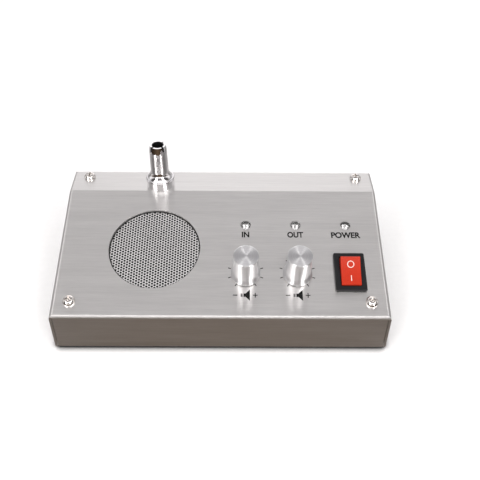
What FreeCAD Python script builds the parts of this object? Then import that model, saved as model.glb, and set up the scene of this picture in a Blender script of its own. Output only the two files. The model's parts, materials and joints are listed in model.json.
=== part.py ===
"""Window intercom, desk unit: folded steel case, speaker, two volume controls, switch and microphone socket.

Millimetres. +X runs to the right, +Y to the back, +Z up. The origin is on the ground, under the middle
of the whole unit. The sloping panel has its own frame: u to the right, v up the slope from the front
fold, n out of the outer face.
"""
import FreeCAD, Part
import math
import os

from FreeCAD import Placement, Rotation, Vector

# Case
case_width = 160.0
cover_sheet = 1.2
front_height = 22.0
slope_length = 73.0
slope_angle = 17.0
shelf_depth = 18.0
bend_inside_radius = 0.5
corner_gap = 0.3
base_sheet = 1.5
base_gap = 0.3

# Feet
foot_height = 1.5
foot_radius = 5.0
foot_neck_radius = 2.0
foot_barb_radius = 2.6
foot_barb_height = 3.0
foot_tip_radius = 1.2
foot_inset_x = 14.0
foot_inset_y = 27.0

# Cover screws, base screws and what holds them
screw_radius = 1.5
screw_head_radius = 2.95
screw_head_height = 1.9
screw_length = 6.0
recess_length = 3.3
recess_width = 0.75
recess_depth = 1.1
flat_recess_depth = 0.75
pan_head_edge = 0.45
pan_head_shoulder = (0.82, 0.88)
flat_head_radius = 2.75
flat_head_height = 1.25
clearance_hole = 0.15
thread_gap = 0.05
front_screw_inset = 8.6
front_screw_v = 8.2
rear_screw_inset = 8.9
rear_screw_back = 11.7
post_across_flats = 6.0
bracket_sheet = 1.5
bracket_width = 11.0
bracket_tab_length = 9.6
bracket_foot_length = 11.0

# Grille, cloth and gasket behind the panel opening
speaker_u = -33.2
speaker_v = 37.8
grille_opening_radius = 22.6
grille_overlap = 0.5
grille_sheet = 0.8
grille_pitch = 1.5
grille_hole_radius = 0.55
cloth_thickness = 0.3
gasket_gap = 0.4

# Speaker
rim_width = 2.7
roll_wall_gap = 0.3
basket_sheet = 0.8
basket_depth = 8.5
seat_radius = 14.0
window_count = 4
window_angle = 52.0
window_low = 1.7
window_high = 1.3
surround_sheet = 0.3
surround_land = 1.6
roll_headroom = 1.1
roll_outer_radius = 20.3
roll_inner_radius = 17.3
cone_sheet = 0.4
cone_outer_radius = 17.6
cone_inner_radius = 6.95
cone_depth = 5.6
cone_land = 1.2
cone_neck_land = 0.7
cap_radius = 7.8
cap_rise = 2.4
coil_former_sheet = 0.2
coil_winding = 0.35
coil_gap = 0.35
coil_length = 3.0
former_length = 9.0
spider_outer_radius = 12.8
spider_wave = 0.6
spider_sheet = 0.3
spider_rim = 1.0
spider_folds = 4
glue_gap = 0.05
top_plate_radius = 15.0
top_plate_height = 2.0
magnet_radius = 16.0
magnet_inner_radius = 9.2
magnet_height = 6.0
yoke_height = 2.0
pole_gap = 0.5

# Speaker clamps on the studs welded inside the cover
stud_radius = 1.5
stud_length = 9.0
stud_ring_radius = 28.6
clamp_width = 8.0
clamp_sheet = 1.0
clamp_reach = 5.6
clamp_heel = 3.0
nut_across_flats = 5.5
nut_height = 2.4
tag_strip_length = 8.0
tag_strip_width = 2.4
tag_strip_sheet = 0.8
tag_ring_radius = 23.6
tag_spacing = 4.6
tag_width = 2.0
tag_sheet = 0.4
tag_height = 5.0

# Volume controls
knob_positions = {"in": 11.8, "out": 36.9}
knob_v = 23.3
knob_lift = 0.6
knob_height = 16.4
knob_skirt_radius = 7.1
knob_skirt_lip = 0.8
knob_flare_height = 3.4
knob_flare_bow = (0.3, 0.4)
knob_body_radius = 6.05
knob_top_radius = 5.95
knob_chamfer = 0.35
knob_recess_radius = 5.6
knob_recess_height = 2.0
knob_bore_gap = 0.03
knob_end_gap = 0.4
knob_bush_gap = 0.4
grub_radius = 1.5
grub_length = 3.0
grub_height = 8.5
grub_slot_width = 0.5
grub_slot_depth = 0.7
shaft_radius = 3.0
shaft_flat = 1.5
shaft_top = 13.6
shaft_flat_lift = 0.6
bush_radius = 3.5
bush_top = 3.8
bush_gap = 0.04
pot_radius = 8.25
pot_depth = 7.5
pot_wall = 0.7
pot_face = 1.2
wafer_height = 1.2
rotor_radius = 5.2
rotor_lug_radius = 7.0
rotor_height = 1.4
rotor_gap = 0.4
stop_angle = 20.0
pot_washer_radius = 4.9
pot_washer_height = 0.4
pot_nut_across_flats = 9.0
pot_nut_height = 1.6
pot_pin_width = 1.2
pot_pin_sheet = 0.5
pot_pin_length = 4.0
pot_pin_spacing = 5.0
pot_pin_offset = 4.5

# Status lights on their strip board
led_positions = {"in": 12.0, "out": 37.2, "power": 62.5}
led_v = 51.7
led_radius = 2.5
led_flange_radius = 2.9
led_flange_height = 1.0
led_proud = 1.9
led_body_height = 8.6
led_hole_gap = 0.1
led_board_margin = 7.0
led_board_width = 10.0
led_board_sheet = 1.2
led_boss_radius = 2.4
led_boss_cap = 0.5
small_screw_radius = 1.25
small_screw_head_radius = 2.2
small_screw_head_height = 1.5
small_screw_length = 4.5

# Rocker switch
switch_u = 62.3
switch_v = 23.9
bezel_width = 15.0
bezel_length = 21.0
bezel_height = 2.0
bezel_corner = 0.8
bezel_chamfer = 0.48
switch_body_width = 13.0
switch_body_length = 19.2
switch_body_depth = 13.2
switch_floor = 1.2
switch_opening_width = 9.9
switch_opening_length = 16.4
switch_cut_gap = 0.1
catch_reach = 0.7
catch_root = 0.2
catch_drop = 0.3
catch_bottom = 6.0
catch_width = 6.0
rocker_width = 9.4
rocker_length = 14.4
rocker_rise = 3.9
rocker_dish = 0.45
rocker_edge = 0.4
rocker_skirt = 1.5
rocker_belly = 2.8
rocker_belly_half = 5.4
rocker_tilt = 13.0
pivot_height = 0.4
pivot_radius = 1.2
pivot_gap = 0.05
pivot_length = 0.9
pivot_end_gap = 0.2
plunger_radius = 1.2
plunger_bore_gap = 0.08
plunger_tip = 7.4
plunger_length = 4.2
boss_wall = 0.85
boss_bottom = 5.4
boss_bore_top = 0.6
spring_wire = 0.28
spring_turns = 4
spring_end_gap = 0.02
lever_pivot = 8.45
lever_pivot_radius = 0.5
lever_pivot_gap = 0.06
lever_length = 10.4
lever_width = 3.0
lever_sheet = 0.5
lever_lift = 0.2
lever_bend = 9.0
lever_tilt = 10.0
contact_radius = 1.0
contact_height = 0.4
contact_gap = 0.25
blade_width = 4.8
blade_sheet = 0.8
blade_length = 6.8
load_blade_v = 6.9
blade_slot_gap = 0.1
saddle_length = 2.4
saddle_height = 1.0
saddle_drop = 0.18

# Microphone socket on the shelf
socket_x = -32.8
socket_back = 6.5
socket_height = 24.0
socket_foot_radius = 7.15
socket_collar_radius = 7.4
socket_collar_side = 3.9
socket_collar_round = (7.2, 4.65)
socket_collar_height = 5.0
socket_collar_top_radius = 6.55
socket_flare_bow = (0.28, 0.42)
socket_neck_radius = 4.65
socket_neck_height = 9.6
socket_shoulder_radius = 4.5
socket_shoulder_drop = 5.0
socket_nose = (4.4, 2.2)
socket_rim_radius = 3.95
socket_bore_radius = 2.75
socket_bore_depth = 17.0
socket_slot_count = 4
socket_slot_width = 1.1
socket_slot_depth = 2.4
socket_stem_radius = 5.0
socket_stem_length = 8.5
socket_cavity_radius = 3.6
insulator_lift = 0.2
socket_pin_radius = 0.5
socket_pin_ring = 1.6
socket_pin_count = 3
socket_pin_length = 3.0
socket_washer_radius = 6.2
socket_washer_height = 0.8
socket_nut_across_flats = 12.0
socket_nut_height = 2.8
socket_hole_gap = 0.15

# Main board and what stands on it
board_layout = (79.5, 42.0)
board_depth = 42.0
board_side_gap = 13.5
board_speaker_gap = 4.2
board_back_gap = 4.8
board_sheet = 1.6
board_hole_inset = 3.6
standoff_height = 8.0
standoff_across_flats = 5.5
board_screw_length = 4.5
leg_pitch = 2.54
chip_size = (9.8, 6.4, 3.4)
chip_lift = 0.4
chip_notch_radius = 0.8
chip_leg_width = 0.8
chip_leg_height = 1.8
chip_leg_reach = 0.2
can_sizes = {"large": (5.0, 16.0), "small": (3.15, 11.0)}
can_edge = 0.5
can_groove_depth = 0.35
can_groove_low = 1.2
can_groove_height = 1.0
connector_size = (10.0, 5.8, 7.0)
connector_wall = 0.9
regulator_body = (10.0, 4.5, 9.0)
regulator_tab = (10.0, 1.3, 15.6)
regulator_lift = 3.0
regulator_leg = (0.8, 0.5)
regulator_hole_radius = 1.8
regulator_hole_drop = 3.0

# Places on a main board of the layout's size, from its front left corner
chip_places = ((21.0, 16.0), (39.0, 16.0))
can_places = (
    ("large", 31.5, 36.0),
    ("large", 54.0, 36.0),
    ("small", 51.0, 16.5),
    ("small", 59.5, 16.5),
    ("small", 33.5, 25.0),
)
connector_places = {
    "speaker": (9.0, 17.0),
    "microphone": (7.0, 29.0),
    "in": (25.0, 4.5),
    "out": (38.5, 4.5),
    "lights": (52.0, 4.5),
    "switch": (65.5, 4.5),
}
regulator_place = (70.0, 22.5)
dc_jack_place = 66.0
audio_jack_places = (19.0, 43.0)

# Rear sockets on the main board
dc_jack_size = (9.0, 11.5, 10.8)
dc_nose_radius = 4.2
dc_bore_radius = 3.2
dc_bore_depth = 9.5
dc_pin_radius = 1.0
dc_pin_recess = 1.2
audio_jack_size = (8.0, 11.5, 8.0)
audio_barrel_radius = 3.0
audio_barrel_reach = 2.2
audio_bore_radius = 1.8
audio_bore_depth = 12.0
audio_nut_radius = 4.3
audio_nut_height = 1.6
rear_hole_gap = 0.2

# Leads inside the case
lead_radius = 0.6
lead_bend_share = 0.45
lead_pitch = 2.0
lead_arch = 6.0
lead_approach = 8.0
lead_seat_gap = 0.3
lead_exit = 3.5
socket_lead_exit = 5.6
light_lead_v = 50.0
light_lead_u = 40.25

# Derived places
surround_outer_radius = roll_outer_radius + surround_land
rim_inner_radius = roll_outer_radius + roll_wall_gap
gasket_inner_radius = surround_outer_radius + gasket_gap
gasket_height = (roll_outer_radius - roll_inner_radius) / 2 + roll_headroom
rim_radius = gasket_inner_radius + rim_width
grille_radius = rim_radius + grille_overlap
lean = math.radians(slope_angle)
case_depth = slope_length * math.cos(lean) + shelf_depth
shelf_height = front_height + slope_length * math.sin(lean)
front_y = -(case_depth + audio_barrel_reach) / 2
ridge_y = front_y + slope_length * math.cos(lean)
back_y = front_y + case_depth
base_top = foot_height + base_sheet
bend_outside_radius = bend_inside_radius + cover_sheet
shelf_under = shelf_height - cover_sheet
front_screw_u = case_width / 2 - front_screw_inset
rear_screw_x = case_width / 2 - rear_screw_inset
board_right = case_width / 2 - board_side_gap
board_left = speaker_u + magnet_radius + board_speaker_gap
board_width = board_right - board_left
board_spread = (board_width / board_layout[0], board_depth / board_layout[1])
board_back = back_y - board_back_gap
board_front = board_back - board_depth
dc_jack_x = board_left + dc_jack_place * board_spread[0]
audio_jack_xs = [board_left + place * board_spread[0] for place in audio_jack_places]
panel_frame = Placement(Vector(0, front_y, front_height), Rotation(Vector(1, 0, 0), slope_angle))
tall = 200.0


# Shapes that repeat

def box(size_x, size_y, size_z, centre_x, centre_y, low_z):
    """A box centred on a point in x and y, standing on low_z."""
    corner = Vector(centre_x - size_x / 2, centre_y - size_y / 2, low_z)
    return Part.makeBox(size_x, size_y, size_z, corner)


def rod(radius, low_z, high_z, x=0.0, y=0.0):
    return Part.makeCylinder(radius, high_z - low_z, Vector(x, y, low_z))


def ring(outer, inner, low_z, high_z):
    return rod(outer, low_z, high_z).cut(rod(inner, low_z - 1, high_z + 1))


def hex_bar(across_flats, low_z, high_z):
    corner = across_flats / math.sqrt(3)
    points = []
    for i in range(7):
        angle = math.radians(60 * i)
        points.append(Vector(corner * math.cos(angle), corner * math.sin(angle), low_z))
    return Part.Face(Part.makePolygon(points)).extrude(Vector(0, 0, high_z - low_z))


def outline(start, *steps):
    """A closed face in the XZ plane. A step is an end point, or a mid point and an end point of an arc."""
    edges = []
    here = start
    for step in steps + (start,):
        if isinstance(step[0], tuple):
            middle, end = step
            points = [Vector(x, 0, z) for x, z in (here, middle, end)]
            edges.append(Part.Arc(*points).toShape())
        else:
            end = step
            if end != here:
                edges.append(Part.makeLine(Vector(here[0], 0, here[1]), Vector(end[0], 0, end[1])))
        here = end
    return Part.Face(Part.Wire(edges))


def turned(start, *steps):
    """A solid of revolution about Z from an outline of radius and height."""
    return outline(start, *steps).revolve(Vector(0, 0, 0), Vector(0, 0, 1), 360)


def dome_middle(radius, rise, low_z):
    """The point halfway along the arc of a dome, between its edge and its top."""
    sphere = (radius * radius + rise * rise) / (2 * rise)
    half_angle = math.asin(radius / sphere) / 2
    return (sphere * math.sin(half_angle), low_z + rise - sphere * (1 - math.cos(half_angle)))


def sector(inner, outer, low_z, high_z, middle_angle, width_angle):
    """Part of a ring, between two angles."""
    wedge = Part.makeCylinder(outer, high_z - low_z, Vector(0, 0, low_z), Vector(0, 0, 1), width_angle)
    wedge.rotate(Vector(0, 0, 0), Vector(0, 0, 1), middle_angle - width_angle / 2)
    return wedge.cut(rod(inner, low_z - 1, high_z + 1))


def moved(shape, x=0.0, y=0.0, z=0.0):
    copy = shape.copy()
    copy.translate(Vector(x, y, z))
    return copy


def spun(shape, angle, axis=Vector(0, 0, 1), centre=Vector(0, 0, 0)):
    copy = shape.copy()
    copy.rotate(centre, axis, angle)
    return copy


def on_panel(shape, u, v):
    """Carry a shape from its own origin to a point of the panel's outer face."""
    copy = moved(shape, u, v)
    copy.Placement = panel_frame.multiply(copy.Placement)
    return copy


def on_shelf(shape, x, back):
    return moved(shape, x, ridge_y + back, shelf_height)


def join(first, *others):
    return first.multiFuse(list(others)).removeSplitter()


def cut_all(shape, cutters):
    return shape.cut(Part.makeCompound(cutters)) if cutters else shape


def cross_recess(top_z):
    """The cross cut into a screw head, downward from top_z."""
    bars = []
    for angle in (0, 90):
        bar = box(recess_length, recess_width, recess_depth + 1, 0, 0, top_z - recess_depth)
        bars.append(spun(bar, angle))
    return bars


def pan_screw(radius, head_radius, head_height, length):
    """Head on top of z = 0, shank below."""
    edge = head_height * pan_head_edge
    shoulder = (head_radius * pan_head_shoulder[0], head_height * pan_head_shoulder[1])
    head = turned((0, 0), (head_radius, 0), (head_radius, edge), (shoulder, (0, head_height)))
    return join(head, rod(radius, -length, 0)).cut(Part.makeCompound(cross_recess(head_height)))


def flat_screw(length):
    """Countersunk screw that stands on its head, head face at z = 0."""
    head = turned((0, 0), (flat_head_radius, 0), (screw_radius, flat_head_height), (0, flat_head_height))
    body = join(head, rod(screw_radius, 0, length))
    cross = Part.makeCompound(cross_recess(0))
    return body.cut(moved(cross, z=flat_recess_depth - 1))


def tube(points, radius):
    """A round lead along straight runs joined by tangent arcs."""
    edges = []
    bends = []
    here = points[0]
    for before, corner, after in zip(points, points[1:], points[2:]):
        back = (before - corner).normalize()
        ahead = (after - corner).normalize()
        turn = math.pi - back.getAngle(ahead)
        setback = lead_bend_share * min((before - corner).Length, (after - corner).Length)
        start = corner + back * setback
        end = corner + ahead * setback
        bend = setback / math.tan(turn / 2)
        inward = (back + ahead).normalize()
        middle = corner + inward * (bend / math.cos(turn / 2) - bend)
        edges.append(Part.makeLine(here, start))
        edges.append(Part.Arc(start, middle, end).toShape())
        bends.append(bend)
        here = end
    edges.append(Part.makeLine(here, points[-1]))
    path = Part.Wire(edges)
    section = Part.Wire(Part.makeCircle(radius, points[0], points[1] - points[0]))
    lead = path.makePipeShell([section], True, True)
    share = lead.Volume / (math.pi * radius * radius * path.Length)
    print(f"lead {path.Length:.1f} mm long, least bend {min(bends):.2f} mm, volume over section {share:.4f}")
    return lead


def save(node, *solids):
    """Write one node, which may hold several separate solids."""
    shape = solids[0] if len(solids) == 1 else Part.makeCompound(list(solids))
    shape.exportStep(os.path.join("parts", node + ".step"))
    print(f"{node}: {len(shape.Solids)} solids, {shape.Volume:.1f} mm3")


# Case

def slope_z(y, inset):
    """Height of the panel, or of a plane set in from it, at y."""
    return front_height + (y - front_y) * math.tan(lean) - inset / math.cos(lean)


def case_block(inset, low_z, radius):
    """The five-sided block of the case, set in on all sides but the bottom, with rounded folds."""
    front = front_y + inset
    back = back_y - inset
    top = shelf_height - inset
    ridge = front_y + (top - front_height + inset / math.cos(lean)) / math.tan(lean)
    half = case_width / 2 - inset
    corners = ((front, low_z), (front, slope_z(front, inset)), (ridge, top), (back, top), (back, low_z))
    points = [Vector(-half, y, z) for y, z in corners]
    block = Part.Face(Part.makePolygon(points + points[:1])).extrude(Vector(2 * half, 0, 0))
    folds = []
    for edge in block.Edges:
        low = min(v.Z for v in edge.Vertexes)
        upright = abs(edge.tangentAt(edge.FirstParameter).z) > 0.999
        if low > low_z + 1 and not upright:
            folds.append(edge)
    return block.makeFillet(radius, folds)


def inside_space():
    return case_block(cover_sheet, -tall, bend_inside_radius)


def corner_slots():
    """The open joint between each front or back flange and the side flange that laps it."""
    slots = []
    depth = cover_sheet + 1
    for side in (-1, 1):
        x = side * (case_width / 2 - cover_sheet - corner_gap / 2)
        for height, y in ((front_height, front_y - 1 + depth / 2), (shelf_height, back_y + 1 - depth / 2)):
            slots.append(box(corner_gap, depth, height - bend_outside_radius, x, y, 0))
    return slots


board_top = base_top + standoff_height + board_sheet
dc_axis_z = board_top + dc_jack_size[2] / 2
audio_axis_z = board_top + audio_jack_size[2] / 2
led_board_top = -(led_body_height - led_proud)
led_boss_us = [(a + b) / 2 for a, b in zip(list(led_positions.values()), list(led_positions.values())[1:])]


def rear_hole(radius, x, z):
    return Part.makeCylinder(radius, 3 * cover_sheet, Vector(x, back_y - 2 * cover_sheet, z), Vector(0, 1, 0))


def cover_cutters():
    cutters = corner_slots()
    through = (-2 * cover_sheet, cover_sheet)
    cutters.append(on_panel(rod(grille_opening_radius, *through), speaker_u, speaker_v))
    for u in knob_positions.values():
        cutters.append(on_panel(rod(bush_radius + clearance_hole, *through), u, knob_v))
    for u in led_positions.values():
        cutters.append(on_panel(rod(led_radius + led_hole_gap, *through), u, led_v))
    cut_out = box(
        switch_body_width + 2 * switch_cut_gap, switch_body_length + 2 * switch_cut_gap, 3 * cover_sheet,
        0, 0, -2 * cover_sheet,
    )
    cutters.append(on_panel(cut_out, switch_u, switch_v))
    for side in (-1, 1):
        hole = rod(screw_radius + clearance_hole, *through)
        cutters.append(on_panel(hole, side * front_screw_u, front_screw_v))
        cutters.append(on_shelf(hole, side * rear_screw_x, rear_screw_back))
    cutters.append(on_shelf(rod(socket_stem_radius + socket_hole_gap, *through), socket_x, socket_back))
    cutters.append(rear_hole(dc_nose_radius + rear_hole_gap, dc_jack_x, dc_axis_z))
    for x in audio_jack_xs:
        cutters.append(rear_hole(audio_barrel_radius + rear_hole_gap, x, audio_axis_z))
    return cutters


def ring_angles():
    return (45, 135, 225, 315)


def top_cover():
    outer = case_block(0, foot_height, bend_outside_radius)
    shell = cut_all(outer.cut(inside_space()), cover_cutters())
    studs = []
    for angle in ring_angles():
        stud = rod(stud_radius, -cover_sheet - stud_length, -cover_sheet / 2, stud_ring_radius)
        studs.append(on_panel(spun(stud, angle), speaker_u, speaker_v))
    for u in led_boss_us:
        boss = rod(led_boss_radius, led_board_top, -cover_sheet / 2)
        tapped = rod(small_screw_radius + thread_gap, led_board_top - 1, -cover_sheet - led_boss_cap)
        boss = boss.cut(tapped)
        studs.append(on_panel(boss, u, led_v))
    return join(shell, *studs)


post_y = ridge_y + rear_screw_back
board_hole_xs = (board_left + board_hole_inset, board_right - board_hole_inset)
board_hole_ys = (board_front + board_hole_inset, board_back - board_hole_inset)
bracket_hole_y = front_y + (front_screw_v + bracket_tab_length / 2) * math.cos(lean) + bracket_foot_length / 2
base_screw_places = []
for side_x in (-rear_screw_x, rear_screw_x):
    base_screw_places.append((side_x, post_y))
for side_x in (-front_screw_u, front_screw_u):
    base_screw_places.append((side_x, bracket_hole_y))
for hole_x in board_hole_xs:
    for hole_y in board_hole_ys:
        base_screw_places.append((hole_x, hole_y))
foot_places = []
for foot_x in (-case_width / 2 + foot_inset_x, case_width / 2 - foot_inset_x):
    for foot_y in (front_y + foot_inset_y, back_y - foot_inset_y):
        foot_places.append((foot_x, foot_y))


def base_plate():
    inset = cover_sheet + base_gap
    width = case_width - 2 * inset
    depth = case_depth - 2 * inset
    plate = box(width, depth, base_sheet, 0, (front_y + back_y) / 2, foot_height)
    cutters = []
    for x, y in base_screw_places:
        cutters.append(rod(screw_radius + clearance_hole, 0, base_top + 1, x, y))
        sink = turned(
            (0, foot_height), (flat_head_radius + thread_gap, foot_height),
            (screw_radius + thread_gap, foot_height + flat_head_height), (0, foot_height + flat_head_height),
        )
        cutters.append(moved(sink, x, y))
    for x, y in foot_places:
        cutters.append(rod(foot_neck_radius + thread_gap, 0, base_top + 1, x, y))
    return cut_all(plate, cutters)


def rubber_foot():
    top = base_top + thread_gap
    return turned(
        (0, 0), (foot_radius, 0), (foot_radius, foot_height), (foot_neck_radius, foot_height),
        (foot_neck_radius, top), (foot_barb_radius, top), (foot_tip_radius, top + foot_barb_height),
        (0, top + foot_barb_height),
    )


def front_bracket(side):
    """Bent strip: a foot on the base, an upright web and a tapped tab under the sloping panel."""
    x = side * front_screw_u
    under = -cover_sheet - bracket_sheet
    tab = box(bracket_width, bracket_tab_length, bracket_sheet, 0, 0, under)
    tab = on_panel(tab, x, front_screw_v)
    tab_end = front_y + (front_screw_v + bracket_tab_length / 2) * math.cos(lean) - under * math.sin(lean)
    web_y = tab_end - bracket_sheet / 2
    web_height = slope_z(web_y, cover_sheet + bracket_sheet / 2) - base_top
    web = box(bracket_width, bracket_sheet, web_height, x, web_y, base_top)
    foot_front = web_y - bracket_sheet / 2
    foot_y = foot_front + bracket_foot_length / 2
    foot = box(bracket_width, bracket_foot_length, bracket_sheet, x, foot_y, base_top)
    bracket = join(tab, web, foot)
    in_tab = on_panel(rod(screw_radius + thread_gap, -4 * bracket_sheet, 0), x, front_screw_v)
    in_foot = rod(screw_radius + thread_gap, 0, base_top + 2 * bracket_sheet, x, bracket_hole_y)
    return bracket.cut(in_tab).cut(in_foot)


def rear_post(side):
    post = hex_bar(post_across_flats, base_top, shelf_under)
    post = post.cut(rod(screw_radius + thread_gap, 0, tall))
    return moved(post, side * rear_screw_x, post_y)


def cover_screws():
    screw = pan_screw(screw_radius, screw_head_radius, screw_head_height, screw_length)
    screws = []
    for side in (-1, 1):
        screws.append(on_panel(screw, side * front_screw_u, front_screw_v))
        screws.append(on_shelf(screw, side * rear_screw_x, rear_screw_back))
    return screws


# Speaker, built about its own axis with z = 0 at the panel's outer face

grille_top = -cover_sheet
cloth_top = grille_top - grille_sheet
gasket_top = cloth_top - cloth_thickness
rim_top = gasket_top - gasket_height
rim_under = rim_top - basket_sheet
seat_top = rim_under - basket_depth
plate_top = seat_top - basket_sheet
magnet_top = plate_top - top_plate_height
yoke_top = magnet_top - magnet_height
cone_top = rim_top
cone_neck = cone_top - cone_depth
former_radius = cone_inner_radius - coil_former_sheet
coil_radius = cone_inner_radius + coil_winding
plate_bore = coil_radius + coil_gap
pole_radius = former_radius - pole_gap


def grille():
    """Perforated disc: columns of holes, every second one shifted by half a pitch."""
    reach = grille_opening_radius - grille_hole_radius / 2
    column_step = grille_pitch * math.cos(math.radians(30))
    columns = int(reach / column_step)
    rows = int(reach / grille_pitch) + 1
    wires = [Part.Wire(Part.makeCircle(grille_radius, Vector(0, 0, grille_top - grille_sheet)))]
    for column in range(-columns, columns + 1):
        shift = grille_pitch / 2 if column % 2 else 0.0
        for row in range(-rows, rows + 1):
            spot = Vector(column * column_step, row * grille_pitch + shift, grille_top - grille_sheet)
            if math.hypot(spot.x, spot.y) <= reach:
                wires.append(Part.Wire(Part.makeCircle(grille_hole_radius, spot)).reversed())
    return Part.Face(wires).extrude(Vector(0, 0, grille_sheet))


def speaker_basket():
    """Pressed frame: flat rim, windowed bowl and a flat seat for the magnet."""
    s = basket_sheet
    wall_top = rim_inner_radius + s
    frame = turned(
        (rim_inner_radius, rim_top), (rim_radius, rim_top), (rim_radius, rim_under), (wall_top, rim_under),
        (seat_radius + s, seat_top), (seat_radius + s, plate_top), (plate_bore, plate_top),
        (plate_bore, seat_top), (seat_radius, seat_top), (rim_inner_radius, rim_under),
    )
    windows = []
    for i in range(window_count):
        middle = 360 / window_count * i
        inner = (seat_radius + plate_bore) / 2
        low = seat_top + window_low
        high = rim_under - window_high
        windows.append(sector(inner, rim_radius, low, high, middle, window_angle))
    return cut_all(frame, windows)


def surround():
    """Half-round roll between the rim and the cone."""
    t = surround_sheet
    middle = (roll_outer_radius + roll_inner_radius) / 2
    roll = (roll_outer_radius - roll_inner_radius) / 2
    low = rim_top
    land = cone_outer_radius - cone_land
    return turned(
        (surround_outer_radius, low), (surround_outer_radius, low + t), (roll_outer_radius, low + t),
        ((middle, low + t + roll), (roll_inner_radius, low + t)), (land, low + t), (land, low),
        (roll_inner_radius + t, low), ((middle, low + roll), (roll_outer_radius - t, low)),
    )


def speaker_cone():
    return turned(
        (cone_outer_radius, cone_top), (cone_outer_radius - cone_land, cone_top),
        (cone_inner_radius, cone_neck), (cone_inner_radius, cone_neck - cone_sheet),
        (cone_inner_radius + cone_neck_land, cone_neck - cone_sheet),
        (cone_outer_radius, cone_top - cone_sheet),
    )


def cone_height_at(radius):
    """Height of the cone's front face at a radius."""
    share = (radius - cone_inner_radius) / (cone_outer_radius - cone_land - cone_inner_radius)
    return cone_neck + share * cone_depth


def dust_cap():
    edge = cone_height_at(cap_radius)
    inner = cap_radius - cone_sheet
    return turned(
        (cap_radius, edge), (dome_middle(cap_radius, cap_rise, edge), (0, edge + cap_rise)),
        (0, edge + cap_rise - cone_sheet), (dome_middle(inner, cap_rise - cone_sheet, edge), (inner, edge)),
    )


def voice_coil():
    """Paper former with its copper winding, in the gap round the pole."""
    former = ring(cone_inner_radius, former_radius, cone_neck - former_length, cone_neck)
    middle = plate_top - top_plate_height / 2
    winding = ring(coil_radius, cone_inner_radius, middle - coil_length / 2, middle + coil_length / 2)
    return join(former, winding)


def spider():
    """Rippled disc that centres the coil former."""
    t = spider_sheet
    inner = cone_inner_radius + glue_gap
    outer = spider_outer_radius
    low = seat_top
    step = (outer - spider_rim - inner) / spider_folds
    radii = [outer - spider_rim - step * i for i in range(spider_folds + 1)]
    wave = [low + spider_wave * (i % 2) for i in range(spider_folds + 1)]
    upper = [(r, z + t) for r, z in zip(radii, wave)]
    lower = [(r, z) for r, z in zip(reversed(radii), reversed(wave))]
    return turned((outer, low), (outer, low + t), *upper, *lower)


def speaker_yoke():
    """Back plate with the pole that stands in the coil."""
    back = rod(top_plate_radius, yoke_top - yoke_height, yoke_top)
    return join(back, rod(pole_radius, yoke_top - yoke_height, plate_top))


def clamp():
    """Clip at angle zero: one end on the speaker's rim, the heel on the panel."""
    top = rim_under
    inner = stud_ring_radius - clamp_reach
    outer = stud_ring_radius + clamp_heel
    middle = (inner + outer) / 2
    plate = box(outer - inner, clamp_width, clamp_sheet, middle, 0, top - clamp_sheet)
    heel_height = -cover_sheet - top + clamp_sheet
    heel = box(clamp_sheet, clamp_width, heel_height, outer - clamp_sheet / 2, 0, top - clamp_sheet)
    hole = rod(stud_radius + clearance_hole, top - 2 * clamp_sheet, top + 1, stud_ring_radius)
    return join(plate, heel).cut(hole)


def stud_nut():
    top = rim_under - clamp_sheet
    nut = hex_bar(nut_across_flats, top - nut_height, top)
    nut = nut.cut(rod(stud_radius + thread_gap, -tall, tall))
    return moved(nut, stud_ring_radius)


def tag_strip():
    """Insulating strip under the speaker's rim, with its two solder tags."""
    low = rim_under - tag_strip_sheet
    pieces = [box(tag_strip_width, tag_strip_length, tag_strip_sheet, tag_ring_radius, 0, low)]
    for side in (-1, 1):
        y = side * tag_spacing / 2
        pieces.append(box(tag_sheet, tag_width, tag_height, tag_ring_radius, y, low - tag_height))
    return pieces


def at_speaker(*shapes):
    return [on_panel(shape, speaker_u, speaker_v) for shape in shapes]


# Volume controls, each about its own shaft with z = 0 at the panel's outer face

pot_top = -cover_sheet
pot_bottom = pot_top - pot_depth
pot_ceiling = pot_top - pot_face
wafer_top = pot_bottom + wafer_height
rotor_top = pot_ceiling - rotor_gap


def volume_knob():
    low = knob_lift
    top = knob_lift + knob_height
    flare_top = low + knob_skirt_lip + knob_flare_height
    flare_middle = (knob_body_radius + (knob_skirt_radius - knob_body_radius) * knob_flare_bow[0],
                    low + knob_skirt_lip + knob_flare_height * knob_flare_bow[1])
    bore_top = shaft_top + knob_end_gap
    bore = shaft_radius + knob_bore_gap
    recess_top = low + knob_recess_height
    bush_clear = bush_radius + knob_bush_gap
    bush_room = bush_top + knob_bush_gap
    knob = turned(
        (knob_recess_radius, low), (knob_skirt_radius, low), (knob_skirt_radius, low + knob_skirt_lip),
        (flare_middle, (knob_body_radius, flare_top)), (knob_top_radius, top - knob_chamfer),
        (knob_top_radius - knob_chamfer, top), (0, top), (0, bore_top), (bore, bore_top), (bore, bush_room),
        (bush_clear, bush_room), (bush_clear, recess_top), (knob_recess_radius, recess_top),
    )
    side_hole = Part.makeCylinder(grub_radius + thread_gap, 2 * knob_body_radius, Vector(0, 0, grub_height),
                                  Vector(0, 1, 0))
    return knob.cut(side_hole)


def grub_screw():
    screw = Part.makeCylinder(grub_radius, grub_length, Vector(0, shaft_flat, grub_height), Vector(0, 1, 0))
    slot = box(2 * grub_radius + 1, 2 * grub_slot_depth, grub_slot_width, 0, shaft_flat + grub_length,
               grub_height - grub_slot_width / 2)
    return screw.cut(slot)


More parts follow.
